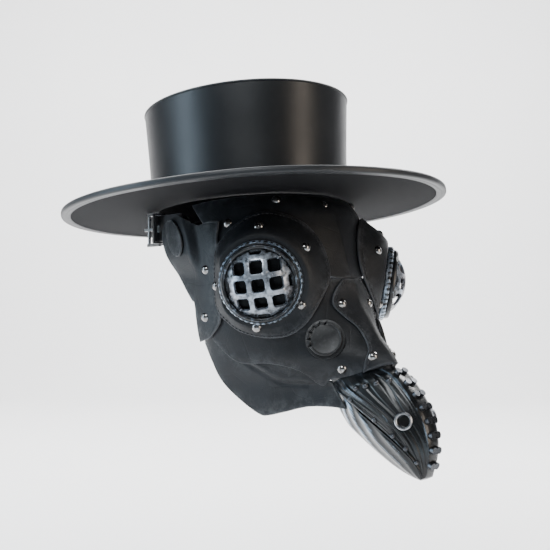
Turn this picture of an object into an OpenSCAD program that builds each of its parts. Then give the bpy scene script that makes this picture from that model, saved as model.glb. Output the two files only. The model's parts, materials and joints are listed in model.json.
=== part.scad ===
/* [Eyes] */
// Outer radius of an eye ring
ring_r = 35; // [34:0.5:36]
// Thickness of the flange that sits on the leather
flange_h = 6; // [5:0.5:7]
// Height of the raised bezel on the flange
bezel_h = 4.5; // [4:0.5:5]
// Spacing of the grille bars
grille_pitch = 15; // [14:0.5:16]
// Width of one grille hole
grille_hole = 11; // [9:0.5:12]

/* [Leather] */
// Thickness of a leather panel
leather = 2.2; // [1.8:0.1:2.3]
// Radius of a rivet head
rivet_r = 4.2; // [3.6:0.2:4.4]

/* [Hat] */
// Half width of the brim
brim_x = 175; // [165:1:185]
// Half length of the brim
brim_y = 200; // [190:1:210]
// Height of the crown
crown_h = 98; // [80:1:110]
// How far the hat lies tipped back, in degrees
hat_tilt = 4.5; // [4:0.5:5]

/* [Hidden] */
$fn = 48;

// Small gap between layers that lie on each other
gap = 0.35;
// How deep a rivet head or stud is pressed into what it sits on
sink = 0.3;

// ---- Shape of the face: one horizontal half section per height ----
// Each row: height, reach of the nose ridge, slope at the ridge in degrees, half width,
// depth of the widest point, and the two handles of the curve that joins them.
stations = [
  [-120, 190, 76, 56, -42, 50, 12],
  [-105, 189, 75, 63, -34, 50, 14],
  [-88, 185, 73, 71, -26, 50, 16],
  [-73, 177, 55, 77, -24, 42, 22],
  [-59, 166, 40, 81, -24, 42, 30],
  [-45, 151, 33, 85, -25, 50, 33],
  [-30, 140, 25, 87, -26, 56, 38],
  [-15, 130, 19, 88, -27, 60, 42],
  [0, 124, 17, 89, -27, 62, 45],
  [20, 117, 16, 90, -25, 60, 48],
  [37, 111, 12, 90, -20, 55, 50],
  [52, 105, 8, 89, -12, 52, 50],
  [68, 97, 4, 86, -2, 50, 48],
  [82, 79, 0, 82, 8, 48, 45]
];
station_count = len(stations);

// Smooth curve through the rows of the table, in column c at height z
function row_below(z) = max([for (i = [0:station_count - 2]) if (i == 0 || stations[i][0] <= z) i]);
function slope_at(i, c) =
  let (a = max(i - 1, 0), b = min(i + 1, station_count - 1))
  (stations[b][c] - stations[a][c]) / (stations[b][0] - stations[a][0]);
function column(z, c, i) =
  let (a = stations[i], b = stations[i + 1], h = b[0] - a[0], f = (z - a[0]) / h)
  (2 * f ^ 3 - 3 * f ^ 2 + 1) * a[c] + (f ^ 3 - 2 * f ^ 2 + f) * h * slope_at(i, c)
  + (3 * f ^ 2 - 2 * f ^ 3) * b[c] + (f ^ 3 - f ^ 2) * h * slope_at(i + 1, c);

function cubic(a, b, c, d, t) =
  (1 - t) ^ 3 * a + 3 * t * (1 - t) ^ 2 * b + 3 * t ^ 2 * (1 - t) * c + t ^ 3 * d;

// Point of the face: girth is 0 at the nose ridge and 100 at the widest point of the side,
// positive on the wearer's right (-X)
function face(girth, z) =
  let (
    i = row_below(z),
    reach = column(z, 1, i), slope = column(z, 2, i), wide = column(z, 3, i),
    depth = column(z, 4, i), h0 = column(z, 5, i), h1 = column(z, 6, i),
    t = abs(girth) / 100, side = girth >= 0 ? -1 : 1,
    p = t > 1 ? [wide - 2 * (t - 1), depth + 120 * (t - 1)]
      : cubic([0, -reach], [h0 * cos(slope), h0 * sin(slope) - reach], [wide, depth - h1], [wide, depth], t)
  )
  [side * p[0], p[1], z];

function unit(v) = v / norm(v);
function face_normal(girth, z) =
  let (zc = min(max(z, -118), 80))
  unit(cross(face(girth, zc + 1) - face(girth, zc - 1), face(girth + 0.5, zc) - face(girth - 0.5, zc)));
// Point of the face raised by h along its outward normal
function raised(girth, z, h) = face(girth, z) + h * face_normal(girth, z);

// Smooth curve through a list of points, u from 0 to 1
function along(list, u) =
  let (
    n = len(list) - 1, k = min(floor(u * n), n - 1), f = u * n - k,
    a = list[max(k - 1, 0)], b = list[k], c = list[k + 1], d = list[min(k + 2, n)]
  )
  0.5 * (2 * b + (c - a) * f + (2 * a - 5 * b + 4 * c - d) * f ^ 2 + (3 * b - a - 3 * c + d) * f ^ 3);
function mix(a, b, t) = a + (b - a) * t;
function ease(t) = let (c = min(max(t, 0), 1)) c * c * (3 - 2 * c);

// ---- Closed sheet between an outer and an inner grid of points ----
module sheet(outer, inner, closed = false) {
  rows = len(outer);
  cols = len(outer[0]);
  count = rows * cols;
  last = closed ? rows - 1 : rows - 2;
  points = concat([for (r = outer) for (p = r) p], [for (r = inner) for (p = r) p]);
  faces = concat(
    [for (i = [0:last]) for (j = [0:cols - 2])
      let (n = (i + 1) % rows, a = i * cols + j, b = n * cols + j)
      for (f = [[a, b, b + 1], [a, b + 1, a + 1]]) f],
    [for (i = [0:last]) for (j = [0:cols - 2])
      let (n = (i + 1) % rows, a = count + i * cols + j, b = count + n * cols + j)
      for (f = [[a, b + 1, b], [a, a + 1, b + 1]]) f],
    [for (i = [0:last])
      let (n = (i + 1) % rows, a = i * cols, b = n * cols)
      for (f = [[a, count + a, count + b], [a, count + b, b]]) f],
    [for (i = [0:last])
      let (n = (i + 1) % rows, a = i * cols + cols - 1, b = n * cols + cols - 1)
      for (f = [[a, b, count + b], [a, count + b, count + a]]) f],
    closed ? [] : [for (j = [0:cols - 2])
      for (f = [[j, j + 1, count + j + 1], [j, count + j + 1, count + j]]) f],
    closed ? [] : [for (j = [0:cols - 2])
      let (a = (rows - 1) * cols + j)
      for (f = [[a, count + a, count + a + 1], [a, count + a + 1, a + 1]]) f]
  );
  polyhedron(points = points, faces = faces);
}

// Leather panel between two edges given as lists of [girth, height]
function panel_grid(edge_a, edge_b, nu, nv, h) =
  [for (i = [0:nu]) let (a = along(edge_a, i / nu), b = along(edge_b, i / nu))
    [for (j = [0:nv]) let (p = mix(a, b, j / nv)) raised(p[0], p[1], h)]];
module panel(edge_a, edge_b, nu, nv, low) {
  sheet(panel_grid(edge_a, edge_b, nu, nv, low + leather), panel_grid(edge_a, edge_b, nu, nv, low));
}
module mirrored() {
  mirror([1, 0, 0])
    children();
}

// Layers of leather, as the height of each one's back above the face
layer_jaw = -2 * leather - 2 * gap - 0.3;
layer_base = -leather - gap;
layer_top = 0.3;

// Edges, as [girth, height] from one end of the panel to the other
forehead_low = [[81, 24], [64, 43], [46, 53], [29, 46], [20, 30], [17, 12], [9, 5], [0, 5]];
forehead_high = [[97, 69], [72, 73.3], [48, 76.1], [34, 76.5], [22, 77], [12, 77], [6, 77], [0, 77]];
cheek_high = [
  [1, 4], [9, 4], [18, 3], [25, -14], [36, -32], [47, -38], [58, -38], [70, -33], [84, -22], [98, -14]
];
cheek_low = [
  [2, -61], [9, -67], [17, -73], [26, -77], [34, -81], [38, -86], [46, -74], [58, -69], [74, -69], [90, -51]
];
jaw_high = [
  [34, -84], [38, -80], [44, -71], [53, -64], [63, -63], [74, -63], [83, -56], [91, -44], [103, -40]
];
jaw_low = [
  [31, -105], [38, -104], [48, -105.5], [60, -111.5], [71, -116],
  [77, -115.5], [86, -104.5], [96, -86], [105, -55]
];
side_front = [
  [76, 52], [77.5, 46], [80, 38], [80.5, 28], [82.5, 15], [83, 0], [82.5, -16], [80.5, -28], [83, -38], [91, -48]
];
side_rear = [
  [110, 59], [123, 55], [132, 48], [136.5, 38], [134, 23],
  [128, 9], [119, -4], [109, -16], [106, -32], [104, -52]
];
flap_front = [[106, 60], [102, 54], [100, 42], [100, 31], [100, 11], [102, -5], [108, -17]];
flap_rear = [[118, 60], [138, 54], [146, 42], [143.5, 31], [136, 11], [125, -5], [114, -17]];
bridge_half = [
  [5, 3], [9, -3], [13, -12], [14.5, -20], [11.5, -29], [8, -37], [7.5, -46], [10, -54], [16, -64], [19, -73]
];
bridge_drop = [3, -4, -13, -20, -28, -36, -45, -52, -60, -66];

module forehead_panel() {
  full_low = concat(forehead_low, [for (i = [6:-1:0]) [-forehead_low[i][0], forehead_low[i][1]]]);
  full_high = concat(forehead_high, [for (i = [6:-1:0]) [-forehead_high[i][0], forehead_high[i][1]]]);
  color("#1b1c1e")
    panel(full_high, full_low, 36, 5, layer_base);
}
module cheek_panel() {
  color("#1d2023")
    panel(cheek_low, cheek_high, 24, 6, layer_base);
}
module cheek_panel_right() {
  cheek_panel();
}
module cheek_panel_left() {
  mirrored()
    cheek_panel();
}
module jaw_panel() {
  color("#232527")
    panel(jaw_low, jaw_high, 20, 5, layer_jaw);
}
module jaw_panel_right() {
  jaw_panel();
}
module jaw_panel_left() {
  mirrored()
    jaw_panel();
}
// The side panel's rear half is raised, so that the strap runs beneath it
side_lift = 5.6;
function side_rise(girth, z) = side_lift * ease((girth - 95) / 8) * ease((z - 2) / 26);
// Depth of the notch in its upper edge
side_notch = 6;
function side_grid(h) =
  [for (i = [0:26]) let (u = i / 26, a = along(side_front, u), b = along(side_rear, u))
    [for (j = [0:12])
      let (p = mix(a, b, j / 12), z = p[1] - side_notch * sin(15 * j) ^ 4 * (1 - u) ^ 5)
      raised(p[0], z, h + side_rise(p[0], z))]];
module side_panel() {
  color("#1a1c1f")
    sheet(side_grid(layer_top + leather), side_grid(layer_top));
}
module side_panel_right() {
  side_panel();
}
module side_panel_left() {
  mirrored()
    side_panel();
}

// The nose bridge runs down the ridge; each row crosses from one edge over the ridge to the other
function bridge_grid(h) =
  [for (i = [0:22]) let (e = along(bridge_half, i / 22), d = along(bridge_drop, i / 22))
    [for (j = [-4:4]) let (w = j / 4) raised(w * e[0], mix(d, e[1], w * w), h)]];
module nose_bridge() {
  color("#1c1b1d")
    sheet(bridge_grid(layer_top + leather), bridge_grid(layer_top));
}

// Foam pad inside the forehead
module brow_pad() {
  low = [for (g = [-36:12:36]) [g, 60]];
  high = [for (g = [-36:12:36]) [g, 73]];
  color("#3a3a3c")
    sheet(panel_grid(low, high, 20, 2, -3.8), panel_grid(low, high, 20, 2, -9.5));
}

// ---- Eye cups: a flat seat under the ring that runs out into the face ----
eye_at = [-74, -90.5, 0];
eye_azimuth = 45.5;
eye_drop = 8.5;
eye_girth = 50;
seat_r = 39;
eye_out = [-sin(eye_azimuth) * cos(eye_drop), -cos(eye_azimuth) * cos(eye_drop), -sin(eye_drop)];
eye_side = [cos(eye_azimuth), -sin(eye_azimuth), 0];
eye_up = cross(eye_out, eye_side);
// Outline of the eye patch as [girth, height], every 30 degrees round the eye from the nose side upwards
eye_outline = [
  [12, 3], [13, 31], [24, 52], [45, 60], [66, 48], [81, 28],
  [84, 2], [83, -20], [72, -38], [56, -46], [41, -43], [26, -26]
];
outline_count = len(eye_outline);
function round_outline(u) =
  let (
    k = floor(u * outline_count), f = u * outline_count - k,
    a = eye_outline[(k + outline_count - 1) % outline_count], b = eye_outline[k % outline_count],
    c = eye_outline[(k + 1) % outline_count], d = eye_outline[(k + 2) % outline_count]
  )
  0.5 * (2 * b + (c - a) * f + (2 * a - 5 * b + 4 * c - d) * f ^ 2 + (3 * b - a - 3 * c + d) * f ^ 3);
function eye_frame(r, angle, h) = eye_at + r * cos(angle) * eye_side + r * sin(angle) * eye_up + h * eye_out;
// The rear edge of the patch laps over the side panel
function patch_lap(girth) = (leather + gap) * ease((girth - 75) / 5);
patch_hole_r = 30;
seat_h = -1.4 - leather;
// One point of the patch, v from 0 at the hole to 1 at the outline
function patch_point(u, v, h) =
  let (
    angle = u * 360, edge = round_outline(u),
    off = face(edge[0], edge[1]) - eye_at, reach = norm([off * eye_side, off * eye_up]),
    r = mix(patch_hole_r, reach, v),
    inward = patch_hole_r / reach, centre = [eye_girth, 0],
    spot = mix(mix(centre, edge, inward), edge, v),
    seat = min(seat_r, reach - 7),
    t = max(r - seat, 0) / (reach - seat),
    w = mix(t, ease(t), 0.4)
  )
  mix(eye_frame(r, angle, seat_h + h), raised(spot[0], spot[1], layer_top + patch_lap(spot[0]) + h), w);
patch_steps = [0, 0.15, 0.32, 0.46, 0.6, 0.74, 0.87, 1];
module eye_patch() {
  color("#191a1c")
    sheet([for (i = [0:39]) [for (v = patch_steps) patch_point(i / 40, v, leather)]],
      [for (i = [0:39]) [for (v = patch_steps) patch_point(i / 40, v, 0)]], true);
}
module eye_patch_right() {
  eye_patch();
}
module eye_patch_left() {
  mirrored()
    eye_patch();
}

// Things drawn along +Z at the origin are put at an eye, +Z pointing out of it
module at_eye() {
  translate(eye_at)
    rotate([0, 90 + eye_drop, -90 - eye_azimuth])
      rotate([0, 0, 90])
        children();
}
ring_low = -1;
ring_top = ring_low + flange_h;
bezel_r = ring_r - 2.5;
glass_r = 26;
module eye_ring() {
  color("#4a4f55")
    at_eye()
      rotate_extrude($fn = 96)
        polygon([[glass_r, ring_low], [ring_r - 1, ring_low], [ring_r, ring_low + 1],
          [ring_r, ring_top - 1.5], [ring_r - 1.5, ring_top], [glass_r, ring_top]]);
}
module eye_ring_right() {
  eye_ring();
}
module eye_ring_left() {
  mirrored()
    eye_ring();
}
bezel_in = 28.4;
module eye_bezel() {
  low = ring_top + 0.05;
  color("#5b6168")
    at_eye()
      rotate_extrude($fn = 96)
        polygon([[bezel_in, low], [bezel_r, low], [bezel_r, low + bezel_h - 1.5],
          [bezel_r - 1.5, low + bezel_h], [bezel_in + 0.8, low + bezel_h], [bezel_in, low + bezel_h - 0.8]]);
}
module eye_bezel_right() {
  eye_bezel();
}
module eye_bezel_left() {
  mirrored()
    eye_bezel();
}

// Domed grille: a cap of a ball with square holes
dome_r = 36;
dome_top = ring_top + 16;
dome_wall = 2.4;
dome_tilt = 7.5;
module grille_hole() {
  corner = 1.8;
  inner = grille_hole - 2 * corner;
  square([grille_hole, inner], center = true);
  square([inner, grille_hole], center = true);
  for (x = [-1, 1], y = [-1, 1])
    translate([x * inner / 2, y * inner / 2])
      circle(r = corner, $fn = 24);
}
module eye_grille() {
  rim_r = 27.9;
  foot = ring_top + 0.1;
  centre = dome_top - dome_r;
  inner_r = dome_r - dome_wall;
  spring = asin(rim_r / dome_r);
  low = centre + dome_r * cos(spring);
  color("#8d939a")
    at_eye()
      difference() {
        rotate_extrude($fn = 96)
          polygon(concat(
            [[rim_r - 2.6, foot], [rim_r, foot]],
            [for (i = [12:-1:0]) [dome_r * sin(spring * i / 12), centre + dome_r * cos(spring * i / 12)]],
            [for (i = [0:11]) [inner_r * sin(spring * i / 12), centre + inner_r * cos(spring * i / 12)]],
            [[rim_r - 2.6, centre + sqrt(inner_r ^ 2 - (rim_r - 2.6) ^ 2)]]
          ));
        rotate([0, 0, dome_tilt])
          for (i = [-1:1], j = [-1:1])
            translate([i * grille_pitch, j * grille_pitch, low + 1])
              linear_extrude(height = 40)
                grille_hole();
      }
}
module eye_grille_right() {
  eye_grille();
}
module eye_grille_left() {
  mirrored()
    eye_grille();
}
module eye_lens() {
  color("#0c0d10")
    at_eye()
      translate([0, 0, ring_low + 1])
        cylinder(r = glass_r, h = 2, $fn = 96);
}
module eye_lens_right() {
  eye_lens();
}
module eye_lens_left() {
  mirrored()
    eye_lens();
}

// ---- Rivets, bolts and studs ----
module head_dome(r, h) {
  ball = (r * r + h * h) / (2 * h);
  intersection() {
    translate([0, 0, h - ball])
      sphere(r = ball, $fn = 40);
    cylinder(r = r + 1, h = h + 1);
  }
}
// Puts children at a point, +Z along a direction
module stand(point, out) {
  translate(point)
    rotate([0, acos(out[2]), atan2(out[1], out[0])])
      children();
}
module rivet(point, out) {
  stand(point - sink * out, out)
    head_dome(rivet_r, 2.6);
}
module face_rivet(girth, z, h) {
  rivet(raised(girth, z, h), face_normal(girth, z));
}
module patch_rivet(u, v) {
  spot = patch_point(u, v, leather);
  outward = patch_point(u, v + 0.02, leather) - spot;
  sideways = patch_point(u + 0.01, v, leather) - spot;
  rivet(spot, unit(cross(outward, sideways)));
}
top_skin = layer_top + leather;
base_skin = layer_base + leather;
module rivets() {
  // Round the eye, on the cup: [angle from the nose side upwards, distance out from 0 to 1]
  for (q = [[186, 0.86], [264, 0.53], [330, 0.4], [38, 0.62], [94, 0.62]])
    patch_rivet(q[0] / 360, q[1]);
  face_rivet(93, 11, top_skin);
  face_rivet(95, -30, top_skin);
  face_rivet(71, 51, base_skin);
  face_rivet(35, 72, base_skin);
  face_rivet(28, -71, base_skin);
}
module rivets_right() {
  color("silver")
    rivets();
}
module rivets_left() {
  color("silver")
    mirrored()
      rivets();
}
module rivets_bridge() {
  color("silver")
    for (side = [-1, 1]) {
      face_rivet(side * 9.5, -18, top_skin);
      face_rivet(side * 10.5, -60, top_skin);
    }
  color("silver")
    face_rivet(4, 69, base_skin - 1.1);
}

// ---- Raised gear, ear flap and ear disc ----
gear_at = [26.7, -47];
gear_r = 16.5;
gear_rim = 14.4;
gear_face = 12.2;
// The gear's notches lie on its upper rear side only
module gear_notch() {
  translate([0, 0, 0.6])
    linear_extrude(height = 5)
      polygon([[gear_face - 0.4, -2], [gear_face - 0.4, 1.6], [gear_rim + 1.3, -1.4]]);
}
module gear_disc() {
  color("#141518")
    stand(raised(gear_at[0], gear_at[1], base_skin + 1.1), face_normal(gear_at[0], gear_at[1]))
      difference() {
        union() {
          cylinder(r = gear_r, h = 1.4);
          cylinder(r = gear_face + 0.5, h = 2.6);
          rotate_extrude()
            polygon([[gear_face, 0.5], [gear_rim, 0.5], [gear_rim, 2.6], [gear_rim - 0.6, 3.4],
              [gear_face + 0.6, 3.4], [gear_face, 2.8]]);
        }
        for (a = [180:24:300])
          rotate([0, 0, a])
            gear_notch();
      }
}
module gear_disc_right() {
  gear_disc();
}
module gear_disc_left() {
  mirrored()
    gear_disc();
}
// The flap hangs beneath the strap and the side panel and bends inwards to the rear
flap_bend = 1.8;
function flap_grid(h) =
  [for (i = [0:20]) [for (j = [0:6])
    let (p = mix(along(flap_front, i / 20), along(flap_rear, i / 20), j / 6))
    raised(p[0], p[1], h - flap_bend * ease((p[0] - 110) / 24))]];
module ear_flap() {
  color("#1a1c1f")
    sheet(flap_grid(layer_base + leather), flap_grid(layer_base));
}
module ear_flap_right() {
  ear_flap();
}
module ear_flap_left() {
  mirrored()
    ear_flap();
}
// Oval leather disc on the side panel: centre and half sizes as [girth, height]
ear_at = [116.5, 39];
ear_half = [9.5, 16];
function ear_edge(way) =
  [for (a = [82:-20.5:-82]) [ear_at[0] + way * ear_half[0] * cos(a), ear_at[1] + ear_half[1] * sin(a)]];
function ear_grid(h) =
  let (front = ear_edge(-1), rear = ear_edge(1))
  [for (i = [0:12]) [for (j = [0:5])
    let (p = mix(along(front, i / 12), along(rear, i / 12), j / 5))
    raised(p[0], p[1], h + side_rise(p[0], p[1]))]];
module ear_disc() {
  low = layer_top + leather + 0.35;
  color("#202225")
    sheet(ear_grid(low + leather), ear_grid(low));
}
module ear_disc_right() {
  ear_disc();
}
module ear_disc_left() {
  mirrored()
    ear_disc();
}

// ---- Beak: sections hung between a ridge line and a keel line ----
beak_wall = 2.4;
function ridge_line(s) = cubic([-168, -66], [-198, -84], [-222, -114], [-205, -150], s);
function keel_line(s) = cubic([-92, -104], [-125, -118], [-165, -150], [-200, -153], s);
function beak_half(s) = 29 - 8 * s - 14 * s * s;
function tuck(s, from, depth) = depth * (1 - ease(s / from));
// Point of a beak section: f runs from 0 on the ridge to 1 on the keel, cut is the depth below the skin
function beak_point(s, f, side, cut, tucked) =
  let (
    top = ridge_line(s), low = keel_line(s), span = norm(low - top), down = (low - top) / span,
    c = min(cut + tucked, 0.42 * span), strip = 6.4 - 3 * s,
    half = max(beak_half(s) - c, 0.8), edge = max(strip - 0.6 * c, 0.5),
    rib = cut > 0 ? 0 : 0.7 * (1 - s) * sin(180 * min(f * 4, 1)) * cos(360 * 9 * f),
    spot = top + down * (c + (span - 2 * c) * f),
    x = edge + (half - edge) * sin(180 * f ^ 0.85) ^ 0.85 + rib
  )
  [side * x, spot[0], spot[1]];
function mouth(s) = 0.56 - 0.06 * s - 0.27 * s * s;
rib_cols = 26;
function upper_row(s, cut) =
  let (m = mouth(s), tucked = tuck(s + 0.06, 0.16, 6.4))
  concat(
    [for (j = [rib_cols:-1:0]) beak_point(s, m * j / rib_cols, -1, cut, tucked)],
    [for (j = [0:rib_cols]) beak_point(s, m * j / rib_cols, 1, cut, tucked)]
  );
module beak_upper() {
  rows = [for (i = [13:-1:-1]) i < 0 ? -0.06 : i / 13];
  color("#6d7278")
    sheet([for (s = rows) upper_row(s, 0)], [for (s = rows) upper_row(s, beak_wall)]);
}
function mandible_loop(s, cut) =
  let (m = mouth(s) + 0.03, tucked = tuck(s, 0.34, 8.5), cols = 9)
  concat(
    [for (j = [0:cols]) beak_point(s, mix(m, 1, j / cols), -1, cut, tucked)],
    [for (j = [cols:-1:0]) beak_point(s, mix(m, 1, j / cols), 1, cut, tucked)]
  );
module beak_mandible() {
  rows = [for (i = [0:12]) mix(0.06, 1, i / 12)];
  color("#5f646a")
    sheet([for (s = rows) mandible_loop(s, 0)], [for (s = rows) mandible_loop(s, beak_wall)]);
}

function beak_out(s, f, side) =
  let (
    along_s = beak_point(s + 0.01, f, side, 0.01, 0) - beak_point(s - 0.01, f, side, 0.01, 0),
    along_f = beak_point(s, f + 0.01, side, 0.01, 0) - beak_point(s, f - 0.01, side, 0.01, 0)
  )
  side * unit(cross(along_s, along_f));
module beak_head(s, f, side, r, h) {
  out = beak_out(s, f, side);
  stand(beak_point(s, f, side, 0.01, 0) - 0.4 * out, out)
    head_dome(r, h);
}
bolt_count = 8;
bolt_r = 2.8;
module beak_ridge_bolts() {
  color("#7d7468")
    for (side = [-1, 1], i = [0:bolt_count - 1]) {
      s = 0.1 + 0.115 * i;
      line = ridge_line(s);
      tangent = unit([0, ridge_line(s + 0.01)[0] - line[0], ridge_line(s + 0.01)[1] - line[1]]);
      facing = cross(tangent, [1, 0, 0]);
      stand([side * (3.9 - 1.6 * s), line[0], line[1]] - 0.5 * facing, facing)
        cylinder(r = bolt_r, h = 3.4, $fn = 24);
    }
}
stud_r = 2.6;
module beak_studs() {
  color("#a9adb2")
    for (side = [-1, 1]) {
      // Along the leather's edge at the root
      for (i = [0:3])
        beak_head(0.11 + 0.013 * i, 0.33 - 0.09 * i, side, stud_r, 2.2);
      // Along the mouth
      for (s = [0.17, 0.4, 0.57, 0.7, 0.84])
        beak_head(s, mouth(s) - 0.045, side, stud_r - 0.8 * s, 1.9);
    }
}
grommet_at = [0.5, 0.17];
module vent_grommet() {
  out = beak_out(grommet_at[0], grommet_at[1], 1);
  spot = beak_point(grommet_at[0], grommet_at[1], 1, 0.01, 0);
  color("#b4b8bd")
    mirrored()
      stand(spot - 0.6 * out, out)
        rotate_extrude($fn = 48)
          polygon([[5, 0], [7, 0], [7, 2.6], [6.2, 3.4], [5.6, 3.4], [5, 2.8]]);
}
module vent_grommet_right() {
  vent_grommet();
}
module vent_grommet_left() {
  mirrored()
    vent_grommet();
}

// ---- Rear strap and its buckle ----
strap_z = 50;
strap_w = 24;
strap_t = 2.2;
strap_mid = 20;
strap_rx = 90.6;
strap_ry = 88;
// Plan of the strap: angle 0 is the nose, 90 the wearer's left, 180 the back of the head.
// It runs straight along each side and rounds the back of the head.
function strap_xy(angle, off) =
  abs(angle - 180) > 90 ? [(strap_rx + off) * sign(180 - angle), strap_mid - strap_ry * cos(angle)]
    : [(strap_rx + off) * sin(angle), strap_mid - (strap_ry + off) * cos(angle)];
// Band of strap whose distance from the head follows a list, from one angle to another
module strap_band(from, to, offs, n) {
  translate([0, 0, strap_z - strap_w / 2])
    linear_extrude(height = strap_w)
      polygon(concat(
        [for (i = [0:n]) strap_xy(mix(from, to, i / n), along(offs, i / n))],
        [for (i = [n:-1:0]) strap_xy(mix(from, to, i / n), along(offs, i / n) + strap_t)]));
}
// The buckle lies on the wearer's right: +X along the strap to the back, +Y out of the head, +Z up
hinge_angle = 255.5;
hinge_out = 1.3;
wire_r = 1.5;
bar_z = 14.5;
far_x = 20;
far_out = 5;
module at_buckle() {
  spot = strap_xy(hinge_angle, 0);
  heading = atan2(strap_xy(hinge_angle - 1, 0)[1] - spot[1], strap_xy(hinge_angle - 1, 0)[0] - spot[0]);
  translate([spot[0], spot[1], strap_z])
    rotate([0, 0, heading])
      children();
}
slot_h = 6.4;
module strap_long() {
  color("#17181a")
    difference() {
      union() {
        strap_band(78, hinge_angle - 15.5, [0, 0, 0], 48);
        strap_band(hinge_angle - 15.5, hinge_angle + 5.2, [0, 0.2, 3.4, 5.9, 5.9], 16);
      }
      at_buckle()
        translate([-3.5, -3, -slot_h / 2])
          cube([18, 14, slot_h]);
    }
}
module strap_short() {
  loop_in = wire_r + 0.4;
  loop_out = loop_in + 1.8;
  color("#17181a") {
    strap_band(282, hinge_angle + 2, [0, 0, 0], 18);
    at_buckle()
      translate([0, hinge_out, 0])
        difference() {
          cylinder(r = loop_out, h = strap_w, center = true);
          cylinder(r = loop_in, h = strap_w + 2, center = true);
          translate([-6, -6, -slot_h / 2])
            cube([12, 12, slot_h]);
        }
  }
}
module strap_keeper() {
  keeper_w = 5;
  inner_low = -1;
  inner_high = 8.6;
  side = strap_w / 2 + 0.5;
  skin = 1.3;
  color("#202124")
    at_buckle()
      translate([-9, 0, 0])
        rotate([0, 0, 2])
          difference() {
            translate([-keeper_w / 2, inner_low - skin, -side - skin])
              cube([keeper_w, inner_high - inner_low + 2 * skin, 2 * (side + skin)]);
            translate([-keeper_w, inner_low, -side])
              cube([2 * keeper_w, inner_high - inner_low, 2 * side]);
          }
}
module buckle_frame() {
  lean = atan2(far_out - hinge_out, far_x);
  length = norm([far_x, far_out - hinge_out]);
  color("#b9bcc0")
    at_buckle()
      translate([0, hinge_out, 0])
        rotate([0, 0, lean]) {
          cylinder(r = wire_r, h = 2 * bar_z, center = true, $fn = 64);
          translate([length, 0, 0])
            cylinder(r = wire_r, h = 2 * bar_z, center = true, $fn = 64);
          for (z = [-bar_z, bar_z])
            translate([-wire_r - 0.4, -wire_r - 0.2, z - wire_r])
              cube([length + 2 * wire_r + 0.8, 2 * wire_r + 0.4, 2 * wire_r]);
        }
}
module buckle_prong() {
  rise = far_out - hinge_out + wire_r + 1.6;
  lean = atan2(rise, far_x);
  color("#c6c9cc")
    at_buckle()
      translate([0, hinge_out, 0])
        difference() {
          union() {
            cylinder(r = 3, h = 4.6, center = true, $fn = 64);
            rotate([0, 0, lean])
              translate([1.7, -1, -1.2])
                cube([far_x + 1.5, 2, 2.4]);
          }
          cylinder(r = wire_r + 0.1, h = 10, center = true, $fn = 64);
        }
}

// ---- Hat, drawn upright about the middle of its opening and then tipped back ----
hat_at = [0, 19.5, 70.5];
opening_x = 87.5;
opening_y = 101.5;
crown_wall = 2;
crown_flare = 1.05;
brim_sides = 120;
module hat_place() {
  translate(hat_at)
    rotate([-hat_tilt, 0, 0])
      children();
}
module ellipse(a, b) {
  polygon([for (i = [0:brim_sides - 1]) [a * cos(i * 360 / brim_sides), b * sin(i * 360 / brim_sides)]]);
}
module band(a, b, low, high, width) {
  translate([0, 0, low])
    linear_extrude(height = high - low)
      difference() {
        ellipse(a, b);
        ellipse(a - width, b - width);
      }
}
module hat_brim() {
  color("#202225")
    hat_place()
      translate([0, 0, 1.5])
        linear_extrude(height = 2)
          difference() {
            ellipse(brim_x - 2, brim_y - 2);
            ellipse(opening_x, opening_y);
          }
}
module hat_brim_lining() {
  color("#151618")
    hat_place()
      translate([0, 0, 0])
        linear_extrude(height = 1.4)
          difference() {
            ellipse(brim_x - 2, brim_y - 2);
            ellipse(opening_x, opening_y);
          }
}
module hat_brim_binding() {
  color("#2c2f33")
    hat_place()
      difference() {
        band(brim_x, brim_y, -0.9, 4.4, 9);
        band(brim_x - 1.9, brim_y - 1.9, -0.1, 3.6, 12);
      }
}
function crown_scale(h) = mix(1, crown_flare, h / crown_h);
function crown_ring(h, a, b) =
  [for (i = [0:71]) let (t = i * 5) [a * crown_scale(h) * cos(t), b * crown_scale(h) * sin(t), h]];
module hat_crown_wall() {
  low = 3.6;
  outer = [for (h = [crown_h, low]) crown_ring(h, opening_x + crown_wall, opening_y + crown_wall)];
  inner = [for (h = [crown_h, low]) crown_ring(h, opening_x, opening_y)];
  color("#26282c")
    hat_place()
      sheet([for (i = [0:71]) [outer[0][i], outer[1][i]]],
        [for (i = [0:71]) [inner[0][i], inner[1][i]]], true);
}
module hat_crown_top() {
  a = (opening_x + crown_wall) * crown_flare;
  b = (opening_y + crown_wall) * crown_flare;
  color("#2a2c30")
    hat_place()
      translate([0, 0, crown_h + 0.1])
        linear_extrude(height = 2)
          ellipse(a - 1.6, b - 1.6);
}
module hat_crown_piping() {
  a = (opening_x + crown_wall) * crown_flare;
  b = (opening_y + crown_wall) * crown_flare;
  color("#101113")
    hat_place()
      band(a + 0.7, b + 0.7, crown_h + 0.1, crown_h + 2.4, 2.2);
}
module hat_sweatband() {
  color("#2b2622")
    hat_place()
      band(opening_x - 0.1, opening_y - 0.1, 4, 34, 1.2);
}

hat_brim();
hat_brim_lining();
hat_brim_binding();
hat_crown_wall();
hat_crown_top();
hat_crown_piping();
hat_sweatband();
forehead_panel();
nose_bridge();
brow_pad();
cheek_panel_right();
cheek_panel_left();
side_panel_right();
side_panel_left();
eye_patch_right();
eye_patch_left();
jaw_panel_right();
jaw_panel_left();
gear_disc_right();
gear_disc_left();
ear_flap_right();
ear_flap_left();
ear_disc_right();
ear_disc_left();
eye_ring_right();
eye_ring_left();
eye_bezel_right();
eye_bezel_left();
eye_grille_right();
eye_grille_left();
eye_lens_right();
eye_lens_left();
beak_upper();
beak_mandible();
beak_ridge_bolts();
beak_studs();
vent_grommet_right();
vent_grommet_left();
rivets_right();
rivets_left();
rivets_bridge();
strap_long();
strap_short();
strap_keeper();
buckle_frame();
buckle_prong();
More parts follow.
